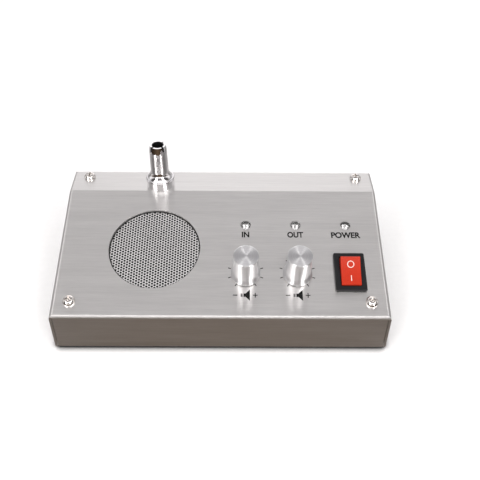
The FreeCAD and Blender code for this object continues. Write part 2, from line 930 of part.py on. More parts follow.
def pot_shaft():
    """D-shaped shaft with the rotor plate and its stop lug."""
    rotor_low = rotor_top - rotor_height
    shaft = rod(shaft_radius, rotor_low, shaft_top)
    flat_low = bush_top + shaft_flat_lift
    flat = box(4 * shaft_radius, 2 * shaft_radius, shaft_top, 0, shaft_flat + shaft_radius, flat_low)
    shaft = shaft.cut(flat)
    rotor = rod(rotor_radius, rotor_low, rotor_top)
    lug = sector(shaft_radius / 2, rotor_lug_radius, rotor_low, rotor_top, 90, stop_angle)
    return join(shaft, rotor, lug)


def pot_case():
    """Cup with the threaded bush, and the stop inside its wall."""
    case = turned(
        (shaft_radius + bush_gap, bush_top), (bush_radius, bush_top), (bush_radius, pot_top),
        (pot_radius, pot_top), (pot_radius, pot_bottom), (pot_radius - pot_wall, pot_bottom),
        (pot_radius - pot_wall, pot_ceiling), (shaft_radius + bush_gap, pot_ceiling),
    )
    stop_low = rotor_top - rotor_height
    stop_high = pot_ceiling + pot_face / 2
    stop_outer = pot_radius - pot_wall / 2
    stop = sector(rotor_radius + rotor_gap, stop_outer, stop_low, stop_high, 270, stop_angle)
    return join(case, stop)


def pot_wafer():
    return rod(pot_radius - pot_wall - thread_gap, pot_bottom, wafer_top)


def pot_pins():
    pins = []
    for place in (-1, 0, 1):
        pins.append(box(pot_pin_width, pot_pin_sheet, pot_pin_length, place * pot_pin_spacing,
                        -pot_pin_offset, pot_bottom - pot_pin_length))
    return pins


def pot_washer():
    return ring(pot_washer_radius, bush_radius + thread_gap, 0, pot_washer_height)


def pot_nut():
    nut = hex_bar(pot_nut_across_flats, pot_washer_height, pot_washer_height + pot_nut_height)
    return nut.cut(rod(bush_radius + thread_gap, -1, tall))


# Status lights

def led():
    """Clear round light: a collar on the strip board and a domed body that comes up through the panel."""
    low = led_board_top
    dome_base = led_proud - led_radius
    slant = led_radius * math.sin(math.radians(45))
    return turned(
        (0, low), (led_flange_radius, low), (led_flange_radius, low + led_flange_height),
        (led_radius, low + led_flange_height), (led_radius, dome_base),
        ((slant, dome_base + slant), (0, led_proud)),
    )


def led_board():
    low = led_board_top - led_board_sheet
    us = list(led_positions.values())
    length = us[-1] - us[0] + 2 * led_board_margin
    middle = (us[-1] + us[0]) / 2
    board = box(length, led_board_width, led_board_sheet, middle, 0, low)
    holes = [rod(small_screw_radius + clearance_hole, low - 1, 0, u) for u in led_boss_us]
    board = board.cut(Part.makeCompound(holes))
    return on_panel(board, 0, led_v)


def led_board_screws():
    screw = pan_screw(small_screw_radius, small_screw_head_radius, small_screw_head_height,
                      small_screw_length)
    screw = spun(screw, 180, Vector(1, 0, 0))
    screw = moved(screw, z=led_board_top - led_board_sheet)
    return [on_panel(screw, u, led_v) for u in led_boss_us]


# Rocker switch, about the middle of its bezel with z = 0 at the panel's outer face

pivot_axis = Vector(1, 0, 0)
pivot_point = Vector(0, 0, pivot_height)
lever_point = Vector(0, 0, pivot_height - lever_pivot)


def lying_rod(radius, length, y, z):
    """A rod along x, centred on x = 0."""
    return Part.makeCylinder(radius, length, Vector(-length / 2, y, z), Vector(1, 0, 0))


def side_profile(points, width):
    """Extrude an outline of (y, z) points, arcs allowed, to a width along x."""
    def flip(step):
        return tuple(flip(s) for s in step) if isinstance(step[0], tuple) else step
    face = outline(flip(points[0]), *[flip(p) for p in points[1:]])
    face.rotate(Vector(0, 0, 0), Vector(0, 0, 1), 90)
    face.translate(Vector(-width / 2, 0, 0))
    return face.extrude(Vector(width, 0, 0))


def switch_housing():
    bezel = box(bezel_width, bezel_length, bezel_height, 0, 0, 0)
    upright = [e for e in bezel.Edges if abs(e.tangentAt(e.FirstParameter).z) > 0.9]
    bezel = bezel.makeFillet(bezel_corner, upright)
    rim = [e for e in bezel.Edges if min(v.Z for v in e.Vertexes) > bezel_height - 0.01]
    bezel = bezel.makeChamfer(bezel_chamfer, rim)
    body = box(switch_body_width, switch_body_length, switch_body_depth, 0, 0, -switch_body_depth)
    housing = join(bezel, body)
    cavity_low = -switch_body_depth + switch_floor
    cavity_height = bezel_height - cavity_low + 1
    cavity = box(switch_opening_width, switch_opening_length, cavity_height, 0, 0, cavity_low)
    pivot_width = rocker_width + 2 * (pivot_length + pivot_end_gap)
    cutters = [cavity, lying_rod(pivot_radius + pivot_gap, pivot_width, 0, pivot_height)]
    slot_size = (blade_width + blade_slot_gap, blade_sheet + blade_slot_gap, 3 * switch_floor)
    for v in (0, load_blade_v):
        cutters.append(box(*slot_size, 0, v, cavity_low - 2 * switch_floor))
    housing = cut_all(housing, cutters)
    catches = []
    for side in (-1, 1):
        y = side * switch_body_length / 2
        root = y - side * catch_root
        tip = (y + side * catch_reach, -cover_sheet - catch_drop)
        catches.append(side_profile(((root, -cover_sheet), tip, (root, -catch_bottom)), catch_width))
    return join(housing, *catches)


def switch_rocker():
    """Dished rocker with side pivots and the socket for its plunger, tilted to its pressed front end."""
    half = rocker_length / 2
    e = rocker_edge
    points = (
        (-half, -rocker_skirt), (-half, rocker_rise - e), (-half + e, rocker_rise),
        ((0, rocker_rise - rocker_dish), (half - e, rocker_rise)), (half, rocker_rise - e),
        (half, -rocker_skirt), (rocker_belly_half, -rocker_belly), (-rocker_belly_half, -rocker_belly),
    )
    body = side_profile(points, rocker_width)
    boss = rod(plunger_radius + plunger_bore_gap + boss_wall, -boss_bottom, -rocker_belly / 2)
    pivot = lying_rod(pivot_radius, rocker_width + 2 * pivot_length, 0, 0)
    rocker = join(body, boss, pivot)
    rocker = rocker.cut(rod(plunger_radius + plunger_bore_gap, -boss_bottom - 1, -boss_bore_top))
    return rest_tilt(rocker)


def rest_tilt(shape):
    """Move a shape from the rocker's own frame to the switch's, tilted as it rests."""
    return moved(spun(shape, rocker_tilt, pivot_axis), z=pivot_height)


plunger_top = plunger_length - plunger_tip


def rocker_plunger():
    tip = -plunger_tip
    r = plunger_radius
    slant = r * math.sin(math.radians(45))
    pin = turned((0, plunger_top), (r, plunger_top), (r, tip + r), ((slant, tip + r - slant), (0, tip)))
    return rest_tilt(pin)


def rocker_spring():
    """Coil spring on quarter-turn arcs, between the plunger and the top of its bore."""
    low = plunger_top + spring_wire / 2 + spring_end_gap
    high = -boss_bore_top - spring_wire / 2 - spring_end_gap
    mean_radius = plunger_radius - spring_wire / 2

    def coil_point(turns):
        angle = 2 * math.pi * turns
        height = low + (high - low) * turns / spring_turns
        return Vector(mean_radius * math.cos(angle), mean_radius * math.sin(angle), height)

    arcs = []
    for quarter in range(4 * spring_turns):
        points = [coil_point((quarter + share) / 4) for share in (0, 0.5, 1)]
        arcs.append(Part.Arc(*points).toShape())
    path = Part.Wire(arcs)
    along = arcs[0].tangentAt(arcs[0].FirstParameter)
    section = Part.Wire(Part.makeCircle(spring_wire / 2, coil_point(0), along))
    return rest_tilt(path.makePipeShell([section], True, False))


def contact_lever():
    """Bent contact strip on a round fulcrum, with a contact under its rear end."""
    half = lever_length / 2
    rise = half * math.tan(math.radians(lever_bend))
    low = lever_lift
    top = low + lever_sheet
    strip = side_profile(((-half, low + rise), (0, low), (half, low + rise), (half, top + rise), (0, top),
                          (-half, top + rise)), lever_width)
    fulcrum = lying_rod(lever_pivot_radius, lever_width, 0, 0)
    contact = rod(contact_radius, low - contact_height, low + lever_sheet / 2)
    contact = moved(contact, y=half - contact_radius)
    contact = spun(contact, lever_bend, pivot_axis)
    lever = join(strip, fulcrum, contact)
    return moved(spun(lever, -lever_tilt, pivot_axis), z=lever_point.z)


def switch_blades():
    """The pivot blade in the middle and the load blade with its fixed contact at the rear."""
    low = -switch_body_depth - blade_length
    blade_top = lever_point.z - saddle_drop
    common = box(blade_width, blade_sheet, blade_top - low, 0, 0, low)
    saddle = box(blade_width, saddle_length, saddle_height, 0, 0, blade_top - saddle_height)
    common = join(common, saddle)
    common = common.cut(lying_rod(lever_pivot_radius + lever_pivot_gap, 2 * blade_width, 0, lever_point.z))
    reach = lever_length / 2 - contact_radius
    contact_z = lever_point.z - reach * math.sin(math.radians(lever_tilt - lever_bend)) - contact_height
    pad_top = contact_z - contact_gap
    shelf_top = pad_top - contact_height
    load = box(blade_width, blade_sheet, shelf_top - low, 0, load_blade_v, low)
    tongue_front = reach - contact_radius
    tongue_back = load_blade_v + blade_sheet / 2
    tongue = box(blade_width, tongue_back - tongue_front, blade_sheet, 0, (tongue_front + tongue_back) / 2,
                 shelf_top - blade_sheet)
    pad = rod(contact_radius, shelf_top - blade_sheet / 2, pad_top, 0, reach)
    load = join(load, tongue, pad)
    return [common, load]


def at_switch(*shapes):
    return [on_panel(shape, switch_u, switch_v) for shape in shapes]


# Microphone socket, about its own axis with z = 0 at the shelf's outer face

def mic_socket():
    """Turned spigot for a gooseneck: round collar, flared neck and a slotted rim."""
    shoulder_z = socket_height - socket_shoulder_drop
    bore_bottom = socket_height - socket_bore_depth
    flare_out = (socket_collar_top_radius - socket_neck_radius) * socket_flare_bow[0]
    flare_up = (socket_neck_height - socket_collar_height) * socket_flare_bow[1]
    flare_middle = (socket_neck_radius + flare_out, socket_collar_height + flare_up)
    collar_top = (socket_collar_top_radius, socket_collar_height)
    nose = (socket_nose[0], socket_height - socket_nose[1])
    body = turned(
        (socket_stem_radius, -socket_stem_length), (socket_stem_radius, 0), (socket_foot_radius, 0),
        (socket_collar_radius, socket_collar_side), (socket_collar_round, collar_top),
        (flare_middle, (socket_neck_radius, socket_neck_height)), (socket_shoulder_radius, shoulder_z),
        (nose, (socket_rim_radius, socket_height)), (socket_bore_radius, socket_height),
        (socket_bore_radius, bore_bottom), (socket_cavity_radius, bore_bottom),
        (socket_cavity_radius, -socket_stem_length),
    )
    slot = box(2 * socket_rim_radius, socket_slot_width, socket_slot_depth + 1,
               socket_bore_radius + socket_rim_radius, 0, socket_height - socket_slot_depth)
    slots = [spun(slot, 360 / socket_slot_count * (i + 0.5)) for i in range(socket_slot_count)]
    return cut_all(body, slots)


def socket_insulator():
    top = socket_height - socket_bore_depth
    bottom = -socket_stem_length
    return rod(socket_cavity_radius - thread_gap, bottom + insulator_lift, top).cut(
        Part.makeCompound(socket_pin_rods(socket_pin_radius + thread_gap, bottom - 1, top + 1)))


def socket_pin_rods(radius, low, high):
    rods = []
    for i in range(socket_pin_count):
        rods.append(spun(rod(radius, low, high, socket_pin_ring), 360 / socket_pin_count * i + 90))
    return rods


def socket_pins():
    """Contacts whose upper ends are flush with the bottom of the bore."""
    top = socket_height - socket_bore_depth
    return socket_pin_rods(socket_pin_radius, -socket_stem_length - socket_pin_length, top)


def socket_washer():
    low = -cover_sheet - socket_washer_height
    return ring(socket_washer_radius, socket_stem_radius + thread_gap, low, -cover_sheet)


def socket_nut():
    top = -cover_sheet - socket_washer_height
    return hex_bar(socket_nut_across_flats, top - socket_nut_height, top).cut(
        rod(socket_stem_radius + thread_gap, -tall, tall))


# Main board

board_under = base_top + standoff_height


def board_place(along, back):
    return board_left + along * board_spread[0], board_front + back * board_spread[1]


def on_board(shape, along, back):
    """Stand a shape on the main board, at a place measured from its front left corner."""
    return moved(shape, *board_place(along, back), board_top)


def main_board():
    middle = ((board_left + board_right) / 2, (board_front + board_back) / 2)
    board = box(board_width, board_depth, board_sheet, *middle, board_under)
    holes = [rod(screw_radius + clearance_hole, 0, tall, x, y) for x in board_hole_xs for y in board_hole_ys]
    return board.cut(Part.makeCompound(holes))


def board_standoffs():
    post = hex_bar(standoff_across_flats, base_top, board_under).cut(rod(screw_radius + thread_gap, 0, tall))
    return [moved(post, x, y) for x in board_hole_xs for y in board_hole_ys]


def board_screws():
    screw = pan_screw(screw_radius, screw_head_radius, screw_head_height, board_screw_length)
    return [moved(screw, x, y, board_top) for x in board_hole_xs for y in board_hole_ys]


def amplifier_chips():
    length, width, height = chip_size
    body = box(length, width, height, 0, 0, chip_lift)
    notch = rod(chip_notch_radius, height, height + 1, -length / 2)
    legs = []
    for i in range(4):
        for side in (-1, 1):
            leg_y = side * (width / 2 + chip_leg_reach)
            legs.append(box(chip_leg_width, chip_leg_width, chip_leg_height, leg_pitch * (i - 1.5), leg_y, 0))
    chip = join(body.cut(notch), *legs)
    return [on_board(chip, *place) for place in chip_places]


def capacitors():
    cans = []
    groove = can_groove_low + can_groove_height / 2
    groove_top = can_groove_low + can_groove_height
    for kind, x, y in can_places:
        radius, height = can_sizes[kind]
        can = turned(
            (0, 0), (radius, 0), (radius, can_groove_low), (radius - can_groove_depth, groove),
            (radius, groove_top), (radius, height - can_edge), (radius - can_edge, height), (0, height),
        )
        cans.append(on_board(can, x, y))
    return cans


def board_connectors():
    """Open-topped shells. The one for the microphone is turned to face it."""
    length, width, height = connector_size
    shells = []
    for name, place in connector_places.items():
        shell = box(length, width, height, 0, 0, 0)
        hollow = box(length - 2 * connector_wall, width - 2 * connector_wall, height, 0, 0, connector_wall)
        turn = 90 if name == "microphone" else 0
        shells.append(on_board(spun(shell.cut(hollow), turn), *place))
    return shells


def lead_ends(name, count):
    """Where each lead of a group goes down into its connector."""
    x, y = board_place(*connector_places[name])
    offsets = [lead_pitch * (i - (count - 1) / 2) for i in range(count)]
    if name == "microphone":
        return [(x, y + offset) for offset in offsets[-1:] + offsets[:-1]]
    return [(x + offset, y) for offset in offsets]


def plug_in(x, y, along_x=0.0, along_y=lead_approach):
    """The last points of a lead: level above the connector, then straight down into it."""
    high = board_top + connector_size[2] + lead_arch
    low = board_top + connector_wall + lead_seat_gap
    return [Vector(x - along_x, y - along_y, high), Vector(x, y, high), Vector(x, y, low)]


def panel_point(u, v, n):
    return panel_frame.multVec(Vector(u, v, n))


panel_down = panel_frame.Rotation.multVec(Vector(0, 0, -1))


def between(start, end, share, y, z):
    """A point whose x lies part of the way from start to end, at a given y from the front and height."""
    return Vector(start.x + (end - start.x) * share, front_y + y, z)


def volume_leads(name):
    u = knob_positions[name]
    leads = []
    for place, (x, y) in zip((-1, 0, 1), lead_ends(name, 3)):
        start = panel_point(u + place * pot_pin_spacing, knob_v - pot_pin_offset, pot_bottom - pot_pin_length)
        route = [start, start + panel_down * lead_exit, between(start, x, 0.3, 28.0, 9.5),
                 between(start, x, 0.65, 33.0, 12.5), between(start, x, 0.85, 35.5, 18.5)]
        leads.append(tube(route + plug_in(x, y), lead_radius))
    return leads


def speaker_leads():
    tag_end = rim_under - tag_strip_sheet - tag_height
    (rear_x, y), (front_x, _) = lead_ends("speaker", 2)
    rear = panel_point(speaker_u + tag_ring_radius, speaker_v + tag_spacing / 2, tag_end)
    rear_route = [rear, rear + panel_down * lead_exit, between(rear, rear_x, 0.25, 45.5, 16.5),
                  between(rear, rear_x, 0.6, 48.5, 20.0)]
    front = panel_point(speaker_u + tag_ring_radius, speaker_v - tag_spacing / 2, tag_end)
    front_route = [front, front + panel_down * lead_exit, between(front, front_x, 0.5, 41.5, 16.5),
                   between(front, front_x, 0.85, 46.5, 19.0)]
    routes = (rear_route + plug_in(rear_x, y), front_route + plug_in(front_x, y))
    return [tube(route, lead_radius) for route in routes]


def microphone_leads():
    leads = []
    for i, (x, y) in enumerate(lead_ends("microphone", socket_pin_count)):
        angle = math.radians(360 / socket_pin_count * i + 90)
        start = Vector(socket_x + socket_pin_ring * math.cos(angle),
                       ridge_y + socket_back + socket_pin_ring * math.sin(angle),
                       shelf_height - socket_stem_length - socket_pin_length)
        from_front = y - front_y
        route = [start, start - Vector(0, 0, socket_lead_exit),
                 between(start, x, 0.25, from_front + 2.5, 20.5), between(start, x, 0.5, from_front, 20.5)]
        leads.append(tube(route + plug_in(x, y, lead_approach, 0.0), lead_radius))
    return leads


def light_leads():
    leads = []
    for i, (x, y) in enumerate(lead_ends("lights", 4)):
        start_u = light_lead_u + lead_pitch * (i - 1.5)
        start = panel_point(start_u, light_lead_v, led_board_top - led_board_sheet)
        route = [start, start + panel_down * lead_exit, Vector(x, y + 0.5, start.z - 6.5)]
        low = board_top + connector_wall + lead_seat_gap
        leads.append(tube(route + [Vector(x, y, low)], lead_radius))
    return leads


def switch_leads():
    blade_end = -switch_body_depth - blade_length
    routes = []
    (first_x, y), (second_x, _) = lead_ends("switch", 2)
    load = panel_point(switch_u, switch_v + load_blade_v, blade_end)
    routes.append([load, load + panel_down * lead_exit, between(load, first_x, 0.4, 38.0, 9.0),
                   between(load, first_x, 0.75, 38.0, 14.5)] + plug_in(first_x, y))
    common = panel_point(switch_u, switch_v, blade_end)
    routes.append([common, common + panel_down * lead_exit, between(common, second_x, 0.35, 33.5, 6.5),
                   between(common, second_x, 0.7, 36.0, 11.5)] + plug_in(second_x, y))
    return [tube(route, lead_radius) for route in routes]


def inner_leads():
    leads = speaker_leads() + microphone_leads() + light_leads() + switch_leads()
    for name in knob_positions:
        leads += volume_leads(name)
    return leads


def voltage_regulator():
    width, depth, height = regulator_body
    tab_width, tab_sheet, tab_height = regulator_tab
    body = box(width, depth - tab_sheet, height, 0, -tab_sheet / 2, regulator_lift)
    tab = box(tab_width, tab_sheet, tab_height, 0, (depth - tab_sheet) / 2, regulator_lift)
    legs = [box(*regulator_leg, regulator_lift + 1, leg_pitch * i, 0, 0) for i in (-1, 0, 1)]
    hole_start = Vector(0, -depth, regulator_lift + tab_height - regulator_hole_drop)
    hole = Part.makeCylinder(regulator_hole_radius, 3 * depth, hole_start, Vector(0, 1, 0))
    return on_board(join(body, tab, *legs).cut(hole), *regulator_place)


def back_rod(radius, x, z, start, end):
    """A rod along Y between two distances from the back face, outward positive."""
    return Part.makeCylinder(radius, end - start, Vector(x, back_y + start, z), Vector(0, 1, 0))


def dc_jack():
    width, depth, height = dc_jack_size
    face = -cover_sheet - base_gap
    body = box(width, depth, height, dc_jack_x, back_y + face - depth / 2, board_top)
    nose = back_rod(dc_nose_radius, dc_jack_x, dc_axis_z, face - 1, 0)
    bore = back_rod(dc_bore_radius, dc_jack_x, dc_axis_z, -dc_bore_depth, 1)
    pin = back_rod(dc_pin_radius, dc_jack_x, dc_axis_z, -dc_bore_depth - 1, -dc_pin_recess)
    return join(join(body, nose).cut(bore), pin)


def audio_jacks():
    width, depth, height = audio_jack_size
    face = -cover_sheet - base_gap
    jacks = []
    for x in audio_jack_xs:
        body = box(width, depth, height, x, back_y + face - depth / 2, board_top)
        barrel = back_rod(audio_barrel_radius, x, audio_axis_z, face - 1, audio_barrel_reach)
        bore = back_rod(audio_bore_radius, x, audio_axis_z, -audio_bore_depth, audio_barrel_reach + 1)
        jacks.append(join(body, barrel).cut(bore))
    return jacks


def jack_nuts():
    nuts = []
    for x in audio_jack_xs:
        nut = back_rod(audio_nut_radius, x, audio_axis_z, 0, audio_nut_height)
        nuts.append(nut.cut(back_rod(audio_barrel_radius + thread_gap, x, audio_axis_z, -1, tall)))
    return nuts


def main():
    os.makedirs("parts", exist_ok=True)
    save("top_cover", top_cover())
    save("base_plate", base_plate())
    save("front_brackets", front_bracket(-1), front_bracket(1))
    save("rear_posts", rear_post(-1), rear_post(1))
    save("cover_screws", *cover_screws())
    save("base_screws", *[moved(flat_screw(screw_length), x, y, foot_height) for x, y in base_screw_places])
    save("rubber_feet", *[moved(rubber_foot(), x, y) for x, y in foot_places])

    save("grille", *at_speaker(grille()))
    save("grille_cloth", *at_speaker(rod(grille_radius, gasket_top, cloth_top)))
    save("speaker_gasket", *at_speaker(ring(rim_radius, gasket_inner_radius, rim_top, gasket_top)))
    save("speaker_basket", *at_speaker(speaker_basket()))
    save("speaker_surround", *at_speaker(surround()))
    save("speaker_cone", *at_speaker(speaker_cone()))
    save("dust_cap", *at_speaker(dust_cap()))
    save("voice_coil", *at_speaker(voice_coil()))
    save("spider", *at_speaker(spider()))
    save("speaker_top_plate", *at_speaker(ring(top_plate_radius, plate_bore, magnet_top, plate_top)))
    save("speaker_magnet", *at_speaker(ring(magnet_radius, magnet_inner_radius, yoke_top, magnet_top)))
    save("speaker_yoke", *at_speaker(speaker_yoke()))
    save("speaker_tags", *at_speaker(*tag_strip()))
    save("speaker_clamps", *at_speaker(*[spun(clamp(), angle) for angle in ring_angles()]))
    save("speaker_nuts", *at_speaker(*[spun(stud_nut(), angle) for angle in ring_angles()]))

    for name, u in knob_positions.items():
        save("volume_knob_" + name, on_panel(volume_knob(), u, knob_v))
        save("set_screw_" + name, on_panel(grub_screw(), u, knob_v))
        save("pot_shaft_" + name, on_panel(pot_shaft(), u, knob_v))
    knob_us = list(knob_positions.values())
    save("pot_cases", *[on_panel(pot_case(), u, knob_v) for u in knob_us])
    save("pot_wafers", *[on_panel(pot_wafer(), u, knob_v) for u in knob_us])
    save("pot_terminals", *[on_panel(pin, u, knob_v) for u in knob_us for pin in pot_pins()])
    save("pot_washers", *[on_panel(pot_washer(), u, knob_v) for u in knob_us])
    save("pot_nuts", *[on_panel(pot_nut(), u, knob_v) for u in knob_us])

    for name, u in led_positions.items():
        save("led_" + name, on_panel(led(), u, led_v))
    save("led_board", led_board())
    save("led_board_screws", *led_board_screws())

    save("switch_housing", *at_switch(switch_housing()))
    save("switch_rocker", *at_switch(switch_rocker()))
    save("rocker_plunger", *at_switch(rocker_plunger()))
    save("rocker_spring", *at_switch(rocker_spring()))
    save("contact_lever", *at_switch(contact_lever()))
    save("switch_blades", *at_switch(*switch_blades()))

    save("mic_socket", on_shelf(mic_socket(), socket_x, socket_back))
    save("socket_insulator", on_shelf(socket_insulator(), socket_x, socket_back))
    save("socket_pins", *[on_shelf(pin, socket_x, socket_back) for pin in socket_pins()])
    save("socket_washer", on_shelf(socket_washer(), socket_x, socket_back))
    save("socket_nut", on_shelf(socket_nut(), socket_x, socket_back))

    save("main_board", main_board())
    save("board_standoffs", *board_standoffs())
    save("board_screws", *board_screws())
    save("amplifier_chips", *amplifier_chips())
    save("capacitors", *capacitors())
    save("board_connectors", *board_connectors())
    save("voltage_regulator", voltage_regulator())
    save("dc_jack", dc_jack())
    save("audio_jacks", *audio_jacks())
    save("jack_nuts", *jack_nuts())
    save("inner_leads", *inner_leads())


main()
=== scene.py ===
"""Looks of the desk unit of a window intercom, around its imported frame.

Metres, in the frame's own axes: +X right, +Y back, +Z up. The sloping panel has its own frame, in
millimetres: u to the right, v up the slope from the front fold, n out of its outer face.
"""
import json
import math

import bpy
from mathutils import Matrix, Vector
from mathutils.bvhtree import BVHTree


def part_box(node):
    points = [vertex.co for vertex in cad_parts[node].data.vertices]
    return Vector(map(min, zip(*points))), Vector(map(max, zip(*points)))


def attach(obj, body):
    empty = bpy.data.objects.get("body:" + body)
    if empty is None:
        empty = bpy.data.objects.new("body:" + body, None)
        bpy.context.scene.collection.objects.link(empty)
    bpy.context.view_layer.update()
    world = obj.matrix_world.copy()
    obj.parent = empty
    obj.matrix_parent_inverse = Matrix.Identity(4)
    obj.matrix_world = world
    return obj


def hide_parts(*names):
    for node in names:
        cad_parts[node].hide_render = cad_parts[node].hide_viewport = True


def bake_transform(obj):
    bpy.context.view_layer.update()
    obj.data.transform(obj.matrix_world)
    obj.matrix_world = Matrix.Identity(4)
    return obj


MM = 0.001
FULL_TURN = 2 * math.pi
X = Vector((1, 0, 0))
Z = Vector((0, 0, 1))

# Camera, solved from the photograph's frame of 480 x 480 pixels
IMAGE_SIDE = 480
FOCAL_PIXELS = 663.3
SENSOR = 36.0
CLIP_START = 0.01
ELEVATION = math.radians(40.65)
YAW = math.radians(-0.65)
ROLL = math.radians(0.69)
DISTANCE = 336.6 * MM
AIM = Vector((0, -5.0, 25.0)) * MM
OFF_CENTRE = Vector((9.2, 7.65)) * MM

# Controls on the panel
KNOB_US = {"in": 11.8, "out": 36.9}
KNOB_V = 23.3
ROCKER_U = 62.3

# Printed marks. A label is its text, the middle's u and v, its width and its height
PRINT_LIFT = 0.02
DROP_HEIGHT = 30.0
LETTER_WEIGHT = 0.036
LABELS = {
    "label_in": ("IN", 11.9, 45.9, 3.75, 3.3),
    "label_out": ("OUT", 36.85, 45.9, 8.0, 3.4),
    "label_power": ("POWER", 62.2, 45.8, 14.7, 3.5),
}
STROKE = 0.42
VOLUME_MARKS_V = 11.7
MINUS_REACH = (-6.1, -3.95)
PLUS_REACH = (3.4, 5.65)
PLUS_MIDDLE = 4.53
PLUS_HALF = 1.25
COIL_BARS = ((-2.1, 0.5), (-1.5, 0.2))
COIL_HALF = 0.85
HORN_US = (-1.05, -0.05, 2.0)
HORN_HALVES = (0.9, 0.9, 3.0)
TICK_CENTRE_V = 23.9
TICK_COUNT = 9
TICK_START = 235.0
TICK_STEP = 36.25
TICK_RADII = (7.5, 8.9)
ROCKER_RING_V = 26.25
ROCKER_RING_RADII = (1.7, 1.34)
ROCKER_BAR_VS = (18.1, 20.9)
ROCKER_BAR_WIDTH = 0.36
ROCKER_BAR_STEPS = 4

# Behind the panel: speaker pieces and lights. A profile is a list of (radius, n)
SPEAKER_PLACE = (-33.2, 37.8)
GASKET_RADII = (22.3, 25.0)
GASKET_HEIGHTS = (-4.9, -2.3)
FOAM_ROUND = 0.35
FOAM_CORNER_STEPS = 4
RIM_STEPS = 96
CLOTH_STEPS = 72
CUP_STEPS = 32
CHIP_STEPS = 12
CLOTH_RADIUS = 25.5
CLOTH_HEIGHTS = (-2.3, -2.0)
CLOTH_RINGS = 16
CLOTH_WAVE = 0.03
CLOTH_WAVE_STEP = 1.7
FLEX_SECTORS = 16
FLEX_STEPS = 3
SOFT_SHEET = 0.3
SURROUND_RADII = (16.4, 21.9)
ROLL_RADII = (17.3, 20.3)
ROLL_STEPS = 10
SPIDER_RADII = (7.0, 11.8)
SPIDER_EDGE = 12.8
SPIDER_WAVE = 0.6
SPIDER_FOLDS = 4
SPIDER_STEPS = 24
SEAL = [(22.05, -1.18), (22.56, -1.18), (22.56, -0.82), (22.3, -0.76), (22.05, -0.86)]
LIGHT_PLACES = {"in": 12.0, "out": 37.2, "power": 62.5}
LIGHT_V = 51.7
LIGHT_CUP = [(0, -3.3), (0.7, -3.2), (1.25, -2.0), (1.3, -1.7), (1.1, -1.7), (0.65, -2.7),
             (0, -2.8)]
LIGHT_CHIP = [(0, -2.8), (0.35, -2.8), (0.35, -2.5), (0, -2.5)]

# Materials: where a noise is at its darkest and lightest, the grain of the brushed sheet, how
# squarely a surface has to face an axis, and the microphone socket's bore in metres, inside
# which the chrome is painted near black as shade
MOTTLE = (0.3, 0.7)
GRAIN_ALONG = 60
GRAIN_ACROSS = 1000
SQUARELY = 0.7
SOCKET_BORE = 0.0031

# Floor: half its side, how bright the paper is, and the painted shadow that darkens it within reach
# of the case
FLOOR_HALF = 6.0
PAPER = (0.67, 0.69)
PAINTED_SHADOW_REACH = 0.006
PAINTED_SHADOW_RAMP = ((0.42, 0.08), (0.82, 1.0))

# Soft box over the object, which bright metal doesn't show
OVERHEAD_ELEVATION = math.radians(80)
OVERHEAD_DISTANCE = 1.0
OVERHEAD_SIDE = 1.0
OVERHEAD_WATTS = 6.0

# The room that bright metal reflects, as (position, brightness): along a direction's height from
# straight down (0) to straight up (1), along how far aside it points, or from left (0) to right (1)
AHEAD_EDGE = 0.15
TABLE = (0.12, 0.08, 0.05)
WALL = (1.4, 1.36, 1.36)
CEILING_PANEL = (3.1, 3.02, 3.0)
ROOM_BEHIND = (
    (0.0, (0.8, 0.78, 0.77)), (0.47, (0.85, 0.83, 0.82)), (0.53, (1.5, 1.46, 1.47)),
    (0.82, (1.5, 1.465, 1.48)), (0.93, (0.56, 0.545, 0.55)), (1.0, (0.43, 0.42, 0.43)),
)
ROOM_AHEAD = (
    (0.0, TABLE), (0.5, TABLE), (0.53, WALL), (0.61, WALL), (0.64, (0.22, 0.21, 0.21)),
    (0.79, (0.28, 0.27, 0.27)), (0.85, CEILING_PANEL), (0.935, CEILING_PANEL),
    (0.965, (0.25, 0.24, 0.245)), (1.0, (0.33, 0.32, 0.325)),
)
ROOM_ASIDE = (
    (0.0, 1.0), (0.15, 0.95), (0.3, 0.74), (0.45, 0.62), (0.66, 0.5), (0.7, 0.33), (0.88, 0.28),
    (0.95, 0.7), (1.0, 0.7),
)
WINDOWS_ACROSS = (
    (0.0, 0.0), (0.16, 0.0), (0.17, 0.35), (0.22, 0.35), (0.235, 1.0), (0.29, 1.0), (0.305, 0.0),
    (0.68, 0.0), (0.695, 1.0), (0.76, 1.0), (0.77, 0.3), (0.8, 0.3), (0.81, 0.0), (1.0, 0.0),
)
WINDOWS_HEIGHT = (
    (0.0, 0.0), (0.53, 0.0), (0.56, 0.6), (0.7, 1.0), (0.84, 1.0), (0.9, 0.0), (1.0, 0.0),
)
WINDOW_LIGHT = 8.5
WINDOW_COLOUR = (1.0, 0.97, 0.96, 1.0)

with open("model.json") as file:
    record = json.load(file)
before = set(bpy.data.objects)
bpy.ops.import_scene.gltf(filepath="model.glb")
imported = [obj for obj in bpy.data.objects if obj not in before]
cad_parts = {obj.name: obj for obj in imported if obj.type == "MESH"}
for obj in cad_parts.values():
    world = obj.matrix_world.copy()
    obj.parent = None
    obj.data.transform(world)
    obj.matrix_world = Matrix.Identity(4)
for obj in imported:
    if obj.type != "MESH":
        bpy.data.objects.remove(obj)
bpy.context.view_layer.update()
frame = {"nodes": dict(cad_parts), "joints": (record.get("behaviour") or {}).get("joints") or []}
nodes = frame["nodes"]
joints = {joint["name"]: joint for joint in frame["joints"]}
socket_low, socket_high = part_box("mic_socket")
SOCKET_PLACE = (socket_low + socket_high) / 2
NORMAL = Vector(joints["knob_in_turn"]["axis"]).normalized()
UP_SLOPE = NORMAL.cross(X).normalized()
PANEL = Vector(joints["knob_in_turn"]["pos_m"]) - (X * KNOB_US["in"] + UP_SLOPE * KNOB_V) * MM


def on_panel(u, v, n=0.0):
    """A point in the scene from millimetres on the panel."""
    return PANEL + (X * u + UP_SLOPE * v + NORMAL * n) * MM


